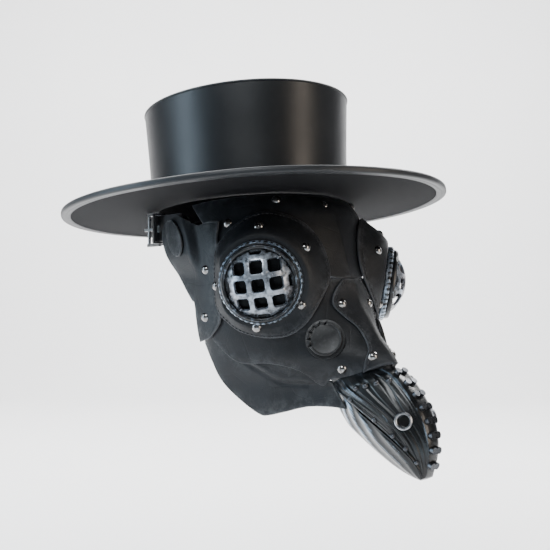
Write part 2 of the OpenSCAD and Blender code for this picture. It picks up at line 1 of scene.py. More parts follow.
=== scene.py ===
"""Looks of the plague doctor mask: finer leather, beak, eyepieces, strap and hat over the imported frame."""

import json
import math

import bmesh
import bpy
import numpy as np
from mathutils import Matrix, Vector, noise


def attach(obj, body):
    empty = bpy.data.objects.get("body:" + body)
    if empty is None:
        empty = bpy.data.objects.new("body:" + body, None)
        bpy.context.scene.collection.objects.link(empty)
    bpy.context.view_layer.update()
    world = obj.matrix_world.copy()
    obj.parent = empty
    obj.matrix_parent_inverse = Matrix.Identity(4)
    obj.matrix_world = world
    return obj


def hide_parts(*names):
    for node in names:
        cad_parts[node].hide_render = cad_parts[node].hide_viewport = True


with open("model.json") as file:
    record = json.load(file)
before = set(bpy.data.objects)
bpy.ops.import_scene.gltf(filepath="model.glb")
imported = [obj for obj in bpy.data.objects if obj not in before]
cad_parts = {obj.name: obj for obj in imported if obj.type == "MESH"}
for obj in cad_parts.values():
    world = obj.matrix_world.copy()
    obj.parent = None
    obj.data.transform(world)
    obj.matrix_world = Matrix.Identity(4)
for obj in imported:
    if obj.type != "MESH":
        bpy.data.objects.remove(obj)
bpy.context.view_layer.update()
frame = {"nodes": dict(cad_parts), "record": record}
MM = 0.001
LEATHER = 2.2
GAP = 0.35
LAYER_JAW = -2 * LEATHER - 2 * GAP - 0.3
LAYER_BASE = -LEATHER - GAP
LAYER_TOP = 0.3

# Each row: height, reach of the nose ridge, slope at the ridge, half width, depth of the widest point, two handles
STATIONS = np.array([
    [-120, 190, 76, 56, -42, 50, 12], [-105, 189, 75, 63, -34, 50, 14], [-88, 185, 73, 71, -26, 50, 16],
    [-73, 177, 55, 77, -24, 42, 22], [-59, 166, 40, 81, -24, 42, 30], [-45, 151, 33, 85, -25, 50, 33],
    [-30, 140, 25, 87, -26, 56, 38], [-15, 130, 19, 88, -27, 60, 42], [0, 124, 17, 89, -27, 62, 45],
    [20, 117, 16, 90, -25, 60, 48], [37, 111, 12, 90, -20, 55, 50], [52, 105, 8, 89, -12, 52, 50],
    [68, 97, 4, 86, -2, 50, 48], [82, 79, 0, 82, 8, 48, 45]], float)


# ---- The face surface: girth is 0 at the nose ridge and 100 at the widest point, height in mm ----
def station(z):
    """The six shape values at each height, smoothed between the rows."""
    h, v = STATIONS[:, 0], STATIONS[:, 1:]
    i = np.clip(np.searchsorted(h, z, side="right") - 1, 0, len(h) - 2)
    below, above = np.maximum(np.arange(len(h)) - 1, 0), np.minimum(np.arange(len(h)) + 1, len(h) - 1)
    slope = (v[above] - v[below]) / (h[above] - h[below])[:, None]
    step = (h[i + 1] - h[i])[..., None]
    f = (z - h[i])[..., None] / step
    return ((2 * f**3 - 3 * f**2 + 1) * v[i] + (f**3 - 2 * f**2 + f) * step * slope[i]
            + (3 * f**2 - 2 * f**3) * v[i + 1] + (f**3 - f**2) * step * slope[i + 1])


def cubic(a, b, c, d, t):
    return (1 - t)**3 * a + 3 * t * (1 - t)**2 * b + 3 * t**2 * (1 - t) * c + t**3 * d


def face(girth, z):
    girth, z = np.broadcast_arrays(np.asarray(girth, float), np.asarray(z, float))
    reach, slope, wide, depth, h0, h1 = np.moveaxis(station(z), -1, 0)
    t, a = np.abs(girth) / 100, np.radians(slope)
    x = cubic(0, h0 * np.cos(a), wide, wide, t)
    y = cubic(-reach, h0 * np.sin(a) - reach, depth - h1, depth, t)
    x = np.where(t > 1, wide - 2 * (t - 1), x)
    y = np.where(t > 1, depth + 120 * (t - 1), y)
    return np.stack([np.where(girth >= 0, -1, 1) * x, y, z], -1)


def unit(v):
    return v / np.linalg.norm(v, axis=-1, keepdims=True)


def face_normal(girth, z):
    z = np.clip(z, -118, 80)
    return unit(np.cross(face(girth, z + 1) - face(girth, z - 1), face(girth + 0.5, z) - face(girth - 0.5, z)))


def raised(girth, z, h):
    return face(girth, z) + np.asarray(h)[..., None] * face_normal(girth, z)


def along(points, u):
    """Smooth curve through a list of points, u from 0 to 1."""
    p, u = np.asarray(points, float), np.asarray(u, float)
    n = len(p) - 1
    k = np.clip(np.floor(u * n).astype(int), 0, n - 1)
    f = (u * n - k)[..., None]
    a, b, c, d = p[np.maximum(k - 1, 0)], p[k], p[k + 1], p[np.minimum(k + 2, n)]
    return 0.5 * (2 * b + (c - a) * f + (2 * a - 5 * b + 4 * c - d) * f**2 + (3 * b - a - 3 * c + d) * f**3)


def ease(t):
    c = np.clip(t, 0, 1)
    return c * c * (3 - 2 * c)


def waves(points, size, seed=0.0):
    """Soft noise from -1 to 1 at points in mm, size in mm."""
    flat = points.reshape(-1, 3) / size
    return np.array([noise.noise(Vector((p[0] + seed, p[1] - seed, p[2]))) for p in flat]).reshape(points.shape[:-1])


# ---- Meshes ----
def new_object(name, verts, faces, attributes=None, smooth_angle=40):
    mesh = bpy.data.meshes.new(name)
    mesh.from_pydata([tuple(v) for v in np.asarray(verts) * MM], [], faces)
    mesh.update()
    for key, values in (attributes or {}).items():
        values = np.asarray(values, float)
        if values.ndim == 1:
            layer = mesh.attributes.new(key, "FLOAT", "POINT")
            layer.data.foreach_set("value", values)
        else:
            layer = mesh.attributes.new(key, "FLOAT_VECTOR", "POINT")
            layer.data.foreach_set("vector", values.reshape(-1))
    obj = bpy.data.objects.new(name, mesh)
    bpy.context.collection.objects.link(obj)
    bm = bmesh.new()
    bm.from_mesh(mesh)
    bmesh.ops.recalc_face_normals(bm, faces=bm.faces)
    bm.to_mesh(mesh)
    bm.free()
    mesh.shade_smooth()
    mesh.set_sharp_from_angle(angle=math.radians(smooth_angle))
    return obj


def grid_faces(rows, cols, closed, start, flip):
    out = []
    for i in range(rows if closed else rows - 1):
        n = (i + 1) % rows
        for j in range(cols - 1):
            quad = [start + i * cols + j, start + n * cols + j, start + n * cols + j + 1, start + i * cols + j + 1]
            out.append(quad[::-1] if flip else quad)
    return out


def sheet_object(name, outer, inner, closed=False, attributes=None, smooth_angle=50):
    """Closed sheet between two grids of points; attributes hold one value per grid point."""
    rows, cols = outer.shape[:2]
    count = rows * cols
    faces = grid_faces(rows, cols, closed, 0, False) + grid_faces(rows, cols, closed, count, True)
    loops = [[i * cols for i in range(rows)], [i * cols + cols - 1 for i in range(rows)]]
    for k, loop in enumerate(loops):
        for i in range(rows if closed else rows - 1):
            a, b = loop[i], loop[(i + 1) % rows]
            quad = [a, a + count, b + count, b]
            faces.append(quad if k == 0 else quad[::-1])
    if not closed:
        for k, row in enumerate((0, rows - 1)):
            for j in range(cols - 1):
                a, b = row * cols + j, row * cols + j + 1
                quad = [a, b, b + count, a + count]
                faces.append(quad if k == 0 else quad[::-1])
    both = {}
    for key, values in (attributes or {}).items():
        v = values.reshape(count, -1)
        both[key] = np.concatenate([v, v]) if v.shape[1] > 1 else np.concatenate([v, v])[:, 0]
    verts = np.concatenate([outer.reshape(-1, 3), inner.reshape(-1, 3)])
    return new_object(name, verts, faces, both, smooth_angle)


def fine_steps(count, length, near=(0.0, 0.3, 0.8, 1.5)):
    """Steps from 0 to 1, close together at both ends, so that cut edges can be rounded."""
    ends = np.array(near) / length
    middle = np.linspace(ends[-1], 1 - ends[-1], count)[1:-1]
    return np.concatenate([ends, middle, 1 - ends[::-1]])


def edge_distance(points, closed=False):
    """Distance in mm from the nearest edge of a grid of points."""
    across = np.linalg.norm(np.diff(points, axis=1), axis=-1)
    run = np.concatenate([np.zeros((len(points), 1)), np.cumsum(across, 1)], 1)
    d = np.minimum(run, run[:, -1:] - run)
    if closed:
        return d
    down = np.linalg.norm(np.diff(points, axis=0), axis=-1)
    fall = np.concatenate([np.zeros((1, points.shape[1])), np.cumsum(down, 0)], 0)
    return np.minimum(d, np.minimum(fall, fall[-1:] - fall))


def rounding(d, r=1.0):
    """Share of the half thickness at a distance from a cut edge."""
    t = np.clip(d / r, 0, 1)
    return np.sqrt(1 - (1 - t)**2) * 0.75 + 0.25


def leather_sheet(name, lift, girth, z, low, closed=False, relief=None, thick=LEATHER):
    """A leather panel: lift(girth, z, h) puts a grid point h above the face."""
    middle = lift(girth, z, np.full(girth.shape, low + thick / 2))
    d = edge_distance(middle, closed)
    half = thick / 2 * rounding(d)
    wobble = 0.22 * waves(middle, 23) * ease(d / 9)
    bumps = relief(girth, z, d) if relief else np.zeros(girth.shape)
    outer = lift(girth, z, low + thick / 2 + half + wobble * 0.5 + bumps)
    inner = lift(girth, z, low + thick / 2 - half + wobble * 0.2 + np.minimum(bumps, 0) * 0.5)
    return sheet_object(name, outer, inner, closed, {"edge": np.exp(-d / 0.9), "near": np.exp(-d / 7)})


def panel_grid(edge_a, edge_b, nu, nv, length=120, width=60):
    u, v = fine_steps(nu, length), fine_steps(nv, width)
    a, b = along(edge_a, u)[:, None], along(edge_b, u)[:, None]
    p = a + (b - a) * v[None, :, None]
    return p[..., 0], p[..., 1]


def mirrored(points):
    return points * np.array([-1, 1, 1])


def side_lift(side):
    """Puts a point on the wearer's right, or mirrors it to the left."""
    def lift(girth, z, h):
        p = raised(girth, z, h)
        return p if side == "right" else mirrored(p)
    return lift


# ---- Placing things drawn upright ----
def at_frame(points, origin, x, y, z):
    p = np.asarray(points, float)
    return np.asarray(origin) + p[..., 0:1] * np.asarray(x) + p[..., 1:2] * np.asarray(y) + p[..., 2:3] * np.asarray(z)


def lathe(profile, steps=128):
    """Closed profile of [radius, height] turned about Z: grid of points, its angle and its place round the profile."""
    p = np.asarray(profile, float)
    a = np.arange(steps) * 2 * math.pi / steps
    pts = np.stack([np.cos(a)[:, None] * p[:, 0], np.sin(a)[:, None] * p[:, 0], np.ones(steps)[:, None] * p[:, 1]], -1)
    turn = np.repeat((a / (2 * math.pi))[:, None], len(p), 1)
    return pts, turn


def loop_object(name, grid, attributes, smooth_angle=60):
    """A grid that closes both ways, such as a turned ring."""
    rows, cols = grid.shape[:2]
    faces = []
    for i in range(rows):
        for j in range(cols):
            n, m = (i + 1) % rows, (j + 1) % cols
            faces.append([i * cols + j, n * cols + j, n * cols + m, i * cols + m])
    flat = {k: v.reshape(rows * cols, -1) if v.ndim == 3 else v.reshape(-1) for k, v in attributes.items()}
    return new_object(name, grid.reshape(-1, 3), faces, flat, smooth_angle)


def rounded_profile(corners, radius=0.6, steps=4):
    """A closed outline with each corner rounded."""
    p = np.asarray(corners, float)
    out = []
    for i in range(len(p)):
        prev, here, nxt = p[i - 1], p[i], p[(i + 1) % len(p)]
        r = min(radius, np.linalg.norm(prev - here) * 0.45, np.linalg.norm(nxt - here) * 0.45)
        a, b = here + (prev - here) / np.linalg.norm(prev - here) * r, here + (nxt - here) / np.linalg.norm(nxt - here) * r
        for t in np.linspace(0, 1, steps + 1):
            out.append((1 - t)**2 * a + 2 * t * (1 - t) * here + t * t * b)
    return np.array(out)


# ---- Materials ----
class Nodes:
    """Small helper for writing a material's node tree."""

    def __init__(self, name):
        self.mat = bpy.data.materials.new(name)
        self.mat.use_nodes = True
        self.tree = self.mat.node_tree
        self.shader = self.tree.nodes["Principled BSDF"]

    def add(self, kind, **values):
        node = self.tree.nodes.new(kind)
        for key, value in values.items():
            if key in node.inputs.keys():
                node.inputs[key].default_value = value
            else:
                setattr(node, key, value)
        return node

    def link(self, a, b):
        self.tree.links.new(a, b)

    def attribute(self, name, vector=False):
        node = self.add("ShaderNodeAttribute", attribute_name=name)
        return node.outputs["Vector" if vector else "Fac"]

    def noise(self, scale, detail=4.0, roughness=0.5, vector=None):
        node = self.add("ShaderNodeTexNoise", Scale=scale, Detail=detail, Roughness=roughness)
        self.link(vector or self.place(), node.inputs["Vector"])
        return node.outputs["Fac"]

    def cells(self, scale, feature="DISTANCE_TO_EDGE", vector=None):
        node = self.add("ShaderNodeTexVoronoi", feature=feature)
        node.inputs["Scale"].default_value = scale
        self.link(vector or self.place(), node.inputs["Vector"])
        return node.outputs["Distance"]

    def place(self):
        if not hasattr(self, "_place"):
            self._place = self.add("ShaderNodeTexCoord").outputs["Object"]
        return self._place

    def ramp(self, value, stops):
        node = self.add("ShaderNodeValToRGB")
        ramp = node.color_ramp
        while len(ramp.elements) < len(stops):
            ramp.elements.new(0.5)
        for element, (at, color) in zip(ramp.elements, stops):
            element.position = at
            element.color = (*color, 1) if len(color) == 3 else (color[0],) * 3 + (1,)
        self.link(value, node.inputs["Fac"])
        return node.outputs["Color"]

    def math(self, op, a, b=0.0):
        node = self.add("ShaderNodeMath", operation=op)
        for k, v in enumerate((a, b)):
            if isinstance(v, (int, float)):
                node.inputs[k].default_value = v
            else:
                self.link(v, node.inputs[k])
        return node.outputs[0]

    def mix(self, factor, a, b):
        node = self.add("ShaderNodeMix", data_type="RGBA")
        for k, v in ((0, factor), (6, a), (7, b)):
            if isinstance(v, (tuple, float, int)):
                node.inputs[k].default_value = (*v, 1) if isinstance(v, tuple) else v
            else:
                self.link(v, node.inputs[k])
        return node.outputs[2]

    def scale_vector(self, vector, factors):
        node = self.add("ShaderNodeVectorMath", operation="MULTIPLY")
        self.link(vector, node.inputs[0])
        node.inputs[1].default_value = factors
        return node.outputs[0]

    def bump(self, layers):
        """layers of [height output, strength, distance in metres]"""
        normal = None
        for height, strength, distance in layers:
            node = self.add("ShaderNodeBump", Strength=strength, Distance=distance)
            self.link(height, node.inputs["Height"])
            if normal is not None:
                self.link(normal, node.inputs["Normal"])
            normal = node.outputs["Normal"]
        self.link(normal, self.shader.inputs["Normal"])

    def finish(self, color, rough, metallic=0.0, **fixed):
        for key, value in (("Base Color", color), ("Roughness", rough), ("Metallic", metallic)):
            socket = self.shader.inputs[key]
            if isinstance(value, (float, int)):
                socket.default_value = value
            elif isinstance(value, tuple):
                socket.default_value = (*value, 1)
            else:
                self.link(value, socket)
        for key, value in fixed.items():
            self.shader.inputs[key.replace("_", " ")].default_value = value
        return self.mat


def leather_material(name, deep, light, edge, rough=(0.38, 0.56), grain=0.35, wear=0.5, creases=0.35):
    n = Nodes(name)
    broad = n.noise(14, 3)
    patches = n.noise(55, 5, 0.62)
    fine = n.noise(420, 4, 0.6)
    pores = n.cells(780)
    worn = n.math("MULTIPLY", n.attribute("near"), n.ramp(n.noise(90, 6, 0.7), [(0.46, (0.0,)), (0.62, (1.0,))]))
    base = n.mix(n.ramp(broad, [(0.3, (0.0,)), (0.7, (1.0,))]), deep, light)
    base = n.mix(n.math("MULTIPLY", patches, 0.25), base, tuple(min(1, c * 1.7) for c in light))
    base = n.mix(n.math("MULTIPLY", worn, wear), base, edge)
    base = n.mix(n.math("MULTIPLY", n.attribute("edge"), 0.75), base, edge)
    lines = n.ramp(n.cells(46), [(0.0, (0.0,)), (0.035, (1.0,))])
    low, high = rough
    roughness = n.math("ADD", n.math("MULTIPLY", patches, high - low), low)
    n.bump([(broad, 0.25, 0.004), (lines, creases * 0.5, 0.0005), (pores, grain, 0.0004), (fine, 0.2, 0.0003)])
    return n.finish(base, roughness, Specular_IOR_Level=0.36)


def smooth_leather(name, deep, light, rough=0.32):
    """Smooth coated leather, as on the hat."""
    n = Nodes(name)
    broad = n.noise(9, 2)
    fine = n.noise(700, 3, 0.55)
    scuffs = n.ramp(n.noise(70, 7, 0.72), [(0.56, (0.0,)), (0.68, (1.0,))])
    base = n.mix(broad, deep, light)
    base = n.mix(n.math("MULTIPLY", scuffs, 0.12), base, tuple(c * 2.2 for c in light))
    roughness = n.math("ADD", n.math("MULTIPLY", n.noise(30, 4), 0.12), rough)
    n.bump([(broad, 0.3, 0.006), (n.cells(900), 0.12, 0.0003), (fine, 0.12, 0.0002)])
    return n.finish(base, roughness, Specular_IOR_Level=0.55)


def cloth_material(name, deep, light):
    n = Nodes(name)
    weave = n.add("ShaderNodeTexWave", Scale=420.0, Distortion=1.2, Detail=2.0)
    n.link(n.place(), weave.inputs["Vector"])
    cross = n.add("ShaderNodeTexWave", Scale=420.0, Distortion=1.2, Detail=2.0, bands_direction="Y")
    n.link(n.place(), cross.inputs["Vector"])
    threads = n.math("MULTIPLY", weave.outputs["Fac"], cross.outputs["Fac"])
    base = n.mix(threads, deep, light)
    base = n.mix(n.math("MULTIPLY", n.noise(25, 5), 0.4), base, light)
    n.bump([(threads, 0.4, 0.0003), (n.noise(18, 2), 0.2, 0.003)])
    return n.finish(base, n.math("ADD", n.math("MULTIPLY", threads, 0.1), 0.82), Specular_IOR_Level=0.15)


def brushed_silver(name, streak_scale, dark, silver, warm, amount=(0.42, 0.6), lift=0.34):
    """Black plastic with worn silver rubbed over what stands up, and painted shade near black in the grommet holes. It
    reads the attributes flow and high, and the grommet hole mask.
    """
    n = Nodes(name)
    flow = n.scale_vector(n.attribute("flow", True), streak_scale)
    streaks = n.noise(1.0, 5, 0.62, vector=flow)
    specks = n.noise(520, 3, 0.6)
    blotches = n.noise(75, 5, 0.65)
    high = n.attribute("high")
    rubbed = n.math("ADD", n.math("MULTIPLY", streaks, 0.62), n.math("MULTIPLY", specks, 0.14))
    rubbed = n.math("ADD", rubbed, n.math("MULTIPLY", blotches, 0.24))
    rubbed = n.math("ADD", rubbed, n.math("MULTIPLY", high, lift))
    low, top = amount
    shown = n.ramp(rubbed, [(low, (0.0,)), (top, (1.0,))])
    tint = n.mix(n.math("MULTIPLY", n.ramp(n.noise(24, 3), [(0.52, (0.0,)), (0.72, (1.0,))]), 0.55), silver, warm)
    base = n.mix(shown, dark, tint)
    # Painted shade: where the grommet hole mask is set, the colour goes near black and the silver is taken away,
    # standing in for the shadow inside the hole.
    hole_shade = n.attribute("hole_shade")
    base = n.mix(hole_shade, base, (0.002, 0.002, 0.0025))
    shown = n.math("MULTIPLY", shown, n.math("SUBTRACT", 1.0, hole_shade))
    rough = n.math("ADD", n.math("MULTIPLY", n.noise(160, 4), 0.22), 0.2)
    n.bump([(streaks, 0.28, 0.0006), (blotches, 0.25, 0.001), (specks, 0.12, 0.0002)])
    return n.finish(base, rough, n.math("MULTIPLY", shown, 0.85), Specular_IOR_Level=0.5, Coat_Weight=0.25, Coat_Roughness=0.15)


def worn_metal(name, color, rough=0.2, dirt=(0.05, 0.05, 0.055), amount=0.35):
    n = Nodes(name)
    stains = n.ramp(n.noise(260, 5, 0.7), [(0.5, (0.0,)), (0.68, (1.0,))])
    base = n.mix(n.math("MULTIPLY", stains, amount), color, dirt)
    roughness = n.math("ADD", n.math("MULTIPLY", n.noise(500, 3), 0.2), rough)
    n.bump([(n.noise(900, 3), 0.12, 0.0002)])
    return n.finish(base, roughness, n.math("SUBTRACT", 1.0, n.math("MULTIPLY", stains, 0.3)))


def black_plastic(name):
    n = Nodes(name)
    rubbed = n.ramp(n.noise(300, 5, 0.7), [(0.52, (0.0,)), (0.72, (1.0,))])
    base = n.mix(n.math("MULTIPLY", rubbed, 0.35), (0.004, 0.0045, 0.0055), (0.05, 0.055, 0.062))
    n.bump([(n.noise(600, 3), 0.2, 0.0003)])
    return n.finish(base, n.math("ADD", n.math("MULTIPLY", n.noise(120, 3), 0.2), 0.32), Specular_IOR_Level=0.5)


def lens_material(name):
    n = Nodes(name)
    haze = n.noise(60, 5, 0.6)
    base = n.mix(haze, (0.0015, 0.002, 0.0025), (0.005, 0.0055, 0.0065))
    n.bump([(n.noise(35, 2), 0.05, 0.0008)])
    return n.finish(base, n.math("ADD", n.math("MULTIPLY", haze, 0.15), 0.18), Specular_IOR_Level=0.12)


def thread_material(name):
    n = Nodes(name)
    base = n.mix(n.noise(900, 3), (0.01, 0.01, 0.012), (0.05, 0.052, 0.056))
    n.bump([(n.noise(1500, 2), 0.5, 0.0003)])
    return n.finish(base, 0.7)


MATERIALS = {
    "black_leather": leather_material("black_leather", (0.0035, 0.004, 0.005), (0.009, 0.0105, 0.0135), (0.085, 0.09, 0.1)),
    "grey_leather": leather_material("grey_leather", (0.006, 0.007, 0.0085), (0.013, 0.015, 0.0185), (0.14, 0.145, 0.15)),
    "strap_leather": leather_material("strap_leather", (0.004, 0.004, 0.005), (0.01, 0.0105, 0.012), (0.04, 0.04, 0.043)),
    "hat_leather": smooth_leather("hat_leather", (0.004, 0.005, 0.0065), (0.008, 0.0095, 0.0125)),
    "hat_trim": smooth_leather("hat_trim", (0.008, 0.009, 0.011), (0.018, 0.02, 0.024), 0.4),
    "hat_lining": cloth_material("hat_lining", (0.002, 0.002, 0.003), (0.007, 0.007, 0.009)),
    "foam_pad": cloth_material("foam_pad", (0.008, 0.008, 0.009), (0.025, 0.025, 0.028)),
    "aged_silver_frame": brushed_silver("aged_silver_grille", (9, 9, 9), (0.004, 0.005, 0.006), (0.4, 0.45, 0.52), (0.5, 0.3, 0.19), (0.58, 0.76), 0.3),
    "aged_silver_beak": brushed_silver("aged_silver_beak", (7, 42, 9), (0.002, 0.003, 0.004), (0.33, 0.45, 0.58), (0.42, 0.3, 0.22), (0.56, 0.78), 0.42),
    "beak_studs": worn_metal("beak_studs", (0.1, 0.105, 0.115), 0.2, amount=0.85),
    "grommet_metal": worn_metal("grommet_metal", (0.5, 0.52, 0.55), 0.2, amount=0.6),
    "rivet_metal": worn_metal("rivet_metal", (0.36, 0.35, 0.34), 0.08),
    "buckle_metal": worn_metal("buckle_metal", (0.5, 0.5, 0.5), 0.2),
    "black_plastic": black_plastic("black_plastic"),
    "dark_lens": lens_material("dark_lens"),
}
RING_SILVER = brushed_silver("aged_silver_ring", (90, 9, 9), (0.003, 0.0035, 0.0045), (0.36, 0.45, 0.56), (0.34, 0.28, 0.23), (0.6, 0.72))
BEZEL_SILVER = brushed_silver("aged_silver_bezel", (60, 9, 9), (0.003, 0.0035, 0.0045), (0.3, 0.38, 0.48), (0.3, 0.24, 0.2), (0.68, 0.8))
THREAD = thread_material("dark_thread")
SLOTS = {s["node"]: s["material_slot"] for s in frame["record"]["subparts"]}


def give(obj, slot_name, body, *nodes, material=None):
    obj.data.materials.clear()
    obj.data.materials.append(material or MATERIALS[slot_name])
    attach(obj, body)
    if nodes:
        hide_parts(*nodes)
    return obj


def stitches(name, path, out, body, pitch=3.6, length=2.5, r=0.42):
    """Small thread stitches laid along a line of points in mm; out is the direction off the leather."""
    step = np.linalg.norm(np.diff(path, axis=0), axis=-1)
    run = np.concatenate([[0], np.cumsum(step)])
    verts, faces = [], []
    for at in np.arange(pitch / 2, run[-1] - pitch / 2, pitch):
        ends = [np.array([np.interp(at + o, run, path[:, k]) for k in range(3)]) for o in (-length / 2, length / 2)]
        up = unit(np.array([np.interp(at, run, out[:, k]) for k in range(3)]))
        ahead = unit(ends[1] - ends[0])
        across = np.cross(ahead, up)
        start = len(verts)
        for t, width, rise in ((0, 0.35, -0.45), (0.2, 0.9, 0.05), (0.5, 1.0, 0.2), (0.8, 0.9, 0.05), (1, 0.35, -0.45)):
            middle = ends[0] + (ends[1] - ends[0]) * t + up * (rise * r)
            for k in range(6):
                a = k * math.pi / 3
                verts.append(middle + (across * math.cos(a) + up * math.sin(a)) * r * width)
        for i in range(4):
            for k in range(6):
                m = (k + 1) % 6
                faces.append([start + i * 6 + k, start + i * 6 + m, start + (i + 1) * 6 + m, start + (i + 1) * 6 + k])
        faces.append([start + k for k in range(5, -1, -1)])
        faces.append([start + 24 + k for k in range(6)])
    obj = new_object(name, np.array(verts), faces, smooth_angle=80)
    obj.data.materials.append(THREAD)
    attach(obj, body)


def refined(node, name, slot_name, body, width, strap=False):
    """A copy of a CAD node with rounded edges and its own surface."""
    source = frame["nodes"][node]
    mesh = source.data.copy()
    mesh.transform(source.matrix_world)
    mesh.materials.clear()
    obj = bpy.data.objects.new(name, mesh)
    bpy.context.collection.objects.link(obj)
    bm = bmesh.new()
    bm.from_mesh(mesh)
    bmesh.ops.remove_doubles(bm, verts=bm.verts, dist=0.00001)
    bmesh.ops.dissolve_limit(bm, angle_limit=math.radians(0.6), verts=bm.verts, edges=bm.edges)
    bm.to_mesh(mesh)
    bm.free()
    soft = obj.modifiers.new("soft", "BEVEL")
    soft.width, soft.segments, soft.limit_method, soft.angle_limit = width * MM, 3, "ANGLE", math.radians(40)
    soft.use_clamp_overlap = True
    apply_modifiers(obj)
    mesh = obj.data
    p = np.empty(len(mesh.vertices) * 3)
    mesh.vertices.foreach_get("co", p)
    inset = 12 - np.abs(p.reshape(-1, 3)[:, 2] / MM - 50)
    for key, reach in (("edge", 0.8), ("near", 3.5)):
        layer = mesh.attributes.new(key, "FLOAT", "POINT")
        layer.data.foreach_set("value", np.exp(-np.maximum(inset, 0) / reach) if strap else np.zeros(len(mesh.vertices)))
    mesh.shade_smooth()
    mesh.set_sharp_from_angle(angle=math.radians(50))
    give(obj, slot_name, body, node)


def dress_frame():
    """Better materials on the CAD nodes that stay in view."""
    for name, obj in frame["nodes"].items():
        for slot in obj.material_slots:
            slot.material = MATERIALS[SLOTS[name]]


# ---- Leather panels of the mask ----
FOREHEAD_LOW = [[81, 24], [64, 43], [46, 53], [29, 46], [20, 30], [17, 12], [9, 4.1], [0, 4.1]]
FOREHEAD_HIGH = [[97, 69], [72, 73.3], [48, 76.1], [34, 76.5], [22, 77], [12, 77], [6, 77], [0, 77]]
CHEEK_HIGH = [[0, 4.1], [9, 4.1], [18, 3], [25, -14], [36, -32], [47, -38], [58, -38], [70, -33], [84, -22], [98, -14]]
CHEEK_LOW = [[2, -61], [9, -67], [17, -73], [26, -77], [34, -81], [38, -86], [46, -74], [58, -69], [74, -69], [90, -51]]
JAW_HIGH = [[34, -84], [38, -80], [44, -71], [53, -64], [63, -63], [74, -63], [83, -56], [91, -44], [103, -40]]
JAW_LOW = [[31, -105], [38, -104], [48, -105.5], [60, -111.5], [71, -116], [77, -115.5], [86, -104.5], [96, -86], [105, -55]]
SIDE_FRONT = [[76, 52], [77.5, 46], [80, 38], [80.5, 28], [82.5, 15], [83, 0], [82.5, -16], [80.5, -28], [83, -38], [91, -48]]
SIDE_REAR = [[110, 59], [123, 55], [132, 48], [136.5, 38], [134, 23], [128, 9], [119, -4], [109, -16], [106, -32], [104, -52]]
FLAP_FRONT = [[106, 60], [102, 54], [100, 42], [100, 31], [100, 11], [102, -5], [108, -17]]
FLAP_REAR = [[118, 60], [138, 54], [146, 42], [143.5, 31], [136, 11], [125, -5], [114, -17]]
BRIDGE_HALF = [[5, 3], [9, -3], [13, -12], [14.5, -20], [11.5, -29], [8, -37], [7.5, -46], [10, -54], [16, -64], [19, -73]]
BRIDGE_DROP = [[3], [-4], [-13], [-20], [-28], [-36], [-45], [-52], [-60], [-66]]


def groove(d, at, width=0.7, depth=0.45):
    """A pressed line at a distance from the edge."""
    return -depth * np.exp(-((d - at) / width)**2)


def forehead():
    low = FOREHEAD_LOW + [[-g, z] for g, z in FOREHEAD_LOW[-2::-1]]
    high = FOREHEAD_HIGH + [[-g, z] for g, z in FOREHEAD_HIGH[-2::-1]]
    girth, z = panel_grid(high, low, 150, 34, 260, 40)
    obj = leather_sheet("forehead_leather", raised, girth, z, LAYER_BASE, relief=lambda g, h, d: groove(d, 2.6, 0.5, 0.2))
    give(obj, "black_leather", "mask", "forehead_panel")


def cheek(side):
    girth, z = panel_grid(CHEEK_LOW, CHEEK_HIGH, 100, 40, 150, 50)
    relief = lambda g, h, d: groove(d, 2.6, 0.5, 0.2) + 0.5 * np.exp(-((h + 58 + 0.1 * g) / 5)**2) * ease((g - 20) / 15)
    obj = leather_sheet("cheek_leather_" + side, side_lift(side), girth, z, LAYER_BASE, relief=relief)
    give(obj, "black_leather", "mask", "cheek_panel_" + side)


FOLD = [[73, -64], [69, -70.5], [64, -76.3], [59.4, -82.1], [55.3, -85.2], [51, -86.1], [44.7, -85.8]]


def fold_distance(girth, z, line):
    """Distance in mm from a line on the face, positive above it."""
    pts = along(line, np.linspace(0, 1, 60))
    pts[:, 0] *= 1.5
    here = np.stack([girth * 1.5, z], -1)[..., None, :] - pts
    far = np.linalg.norm(here, axis=-1)
    k = far.argmin(-1)
    sign = np.sign(np.take_along_axis(here[..., 1], k[..., None], -1)[..., 0])
    return far.min(-1) * sign


def jaw(side):
    def crease(g, h, d):
        off = fold_distance(g, h, FOLD)
        soft = np.exp(-((off - 3.2) / 3.0)**2) * 1.0 - np.exp(-((off + 1.2) / 2.0)**2) * 1.1
        return groove(d, 2.6, 0.5, 0.2) + soft * ease(d / 9)
    girth, z = panel_grid(JAW_LOW, JAW_HIGH, 110, 44, 130, 40)
    obj = leather_sheet("jaw_leather_" + side, side_lift(side), girth, z, LAYER_JAW, relief=crease)
    give(obj, "grey_leather", "mask", "jaw_panel_" + side)


def side_rise(girth, z):
    """How far the side panel's rear half stands off to let the strap pass."""
    return 5.6 * ease((girth - 95) / 8) * ease((z - 2) / 26)


def side_panel(side):
    u, v = fine_steps(90, 115), fine_steps(44, 50)
    a, b = along(SIDE_FRONT, u)[:, None], along(SIDE_REAR, u)[:, None]
    p = a + (b - a) * v[None, :, None]
    z = p[..., 1] - 6 * np.sin(np.pi * v[None, :])**4 * (1 - u[:, None])**5
    lift = side_lift(side)
    obj = leather_sheet("side_leather_" + side, lambda g, y, h: lift(g, y, h + side_rise(g, y)), p[..., 0], z, LAYER_TOP,
                        relief=lambda g, h, d: groove(d, 2.4, 0.5, 0.25))
    give(obj, "grey_leather", "mask", "side_panel_" + side)


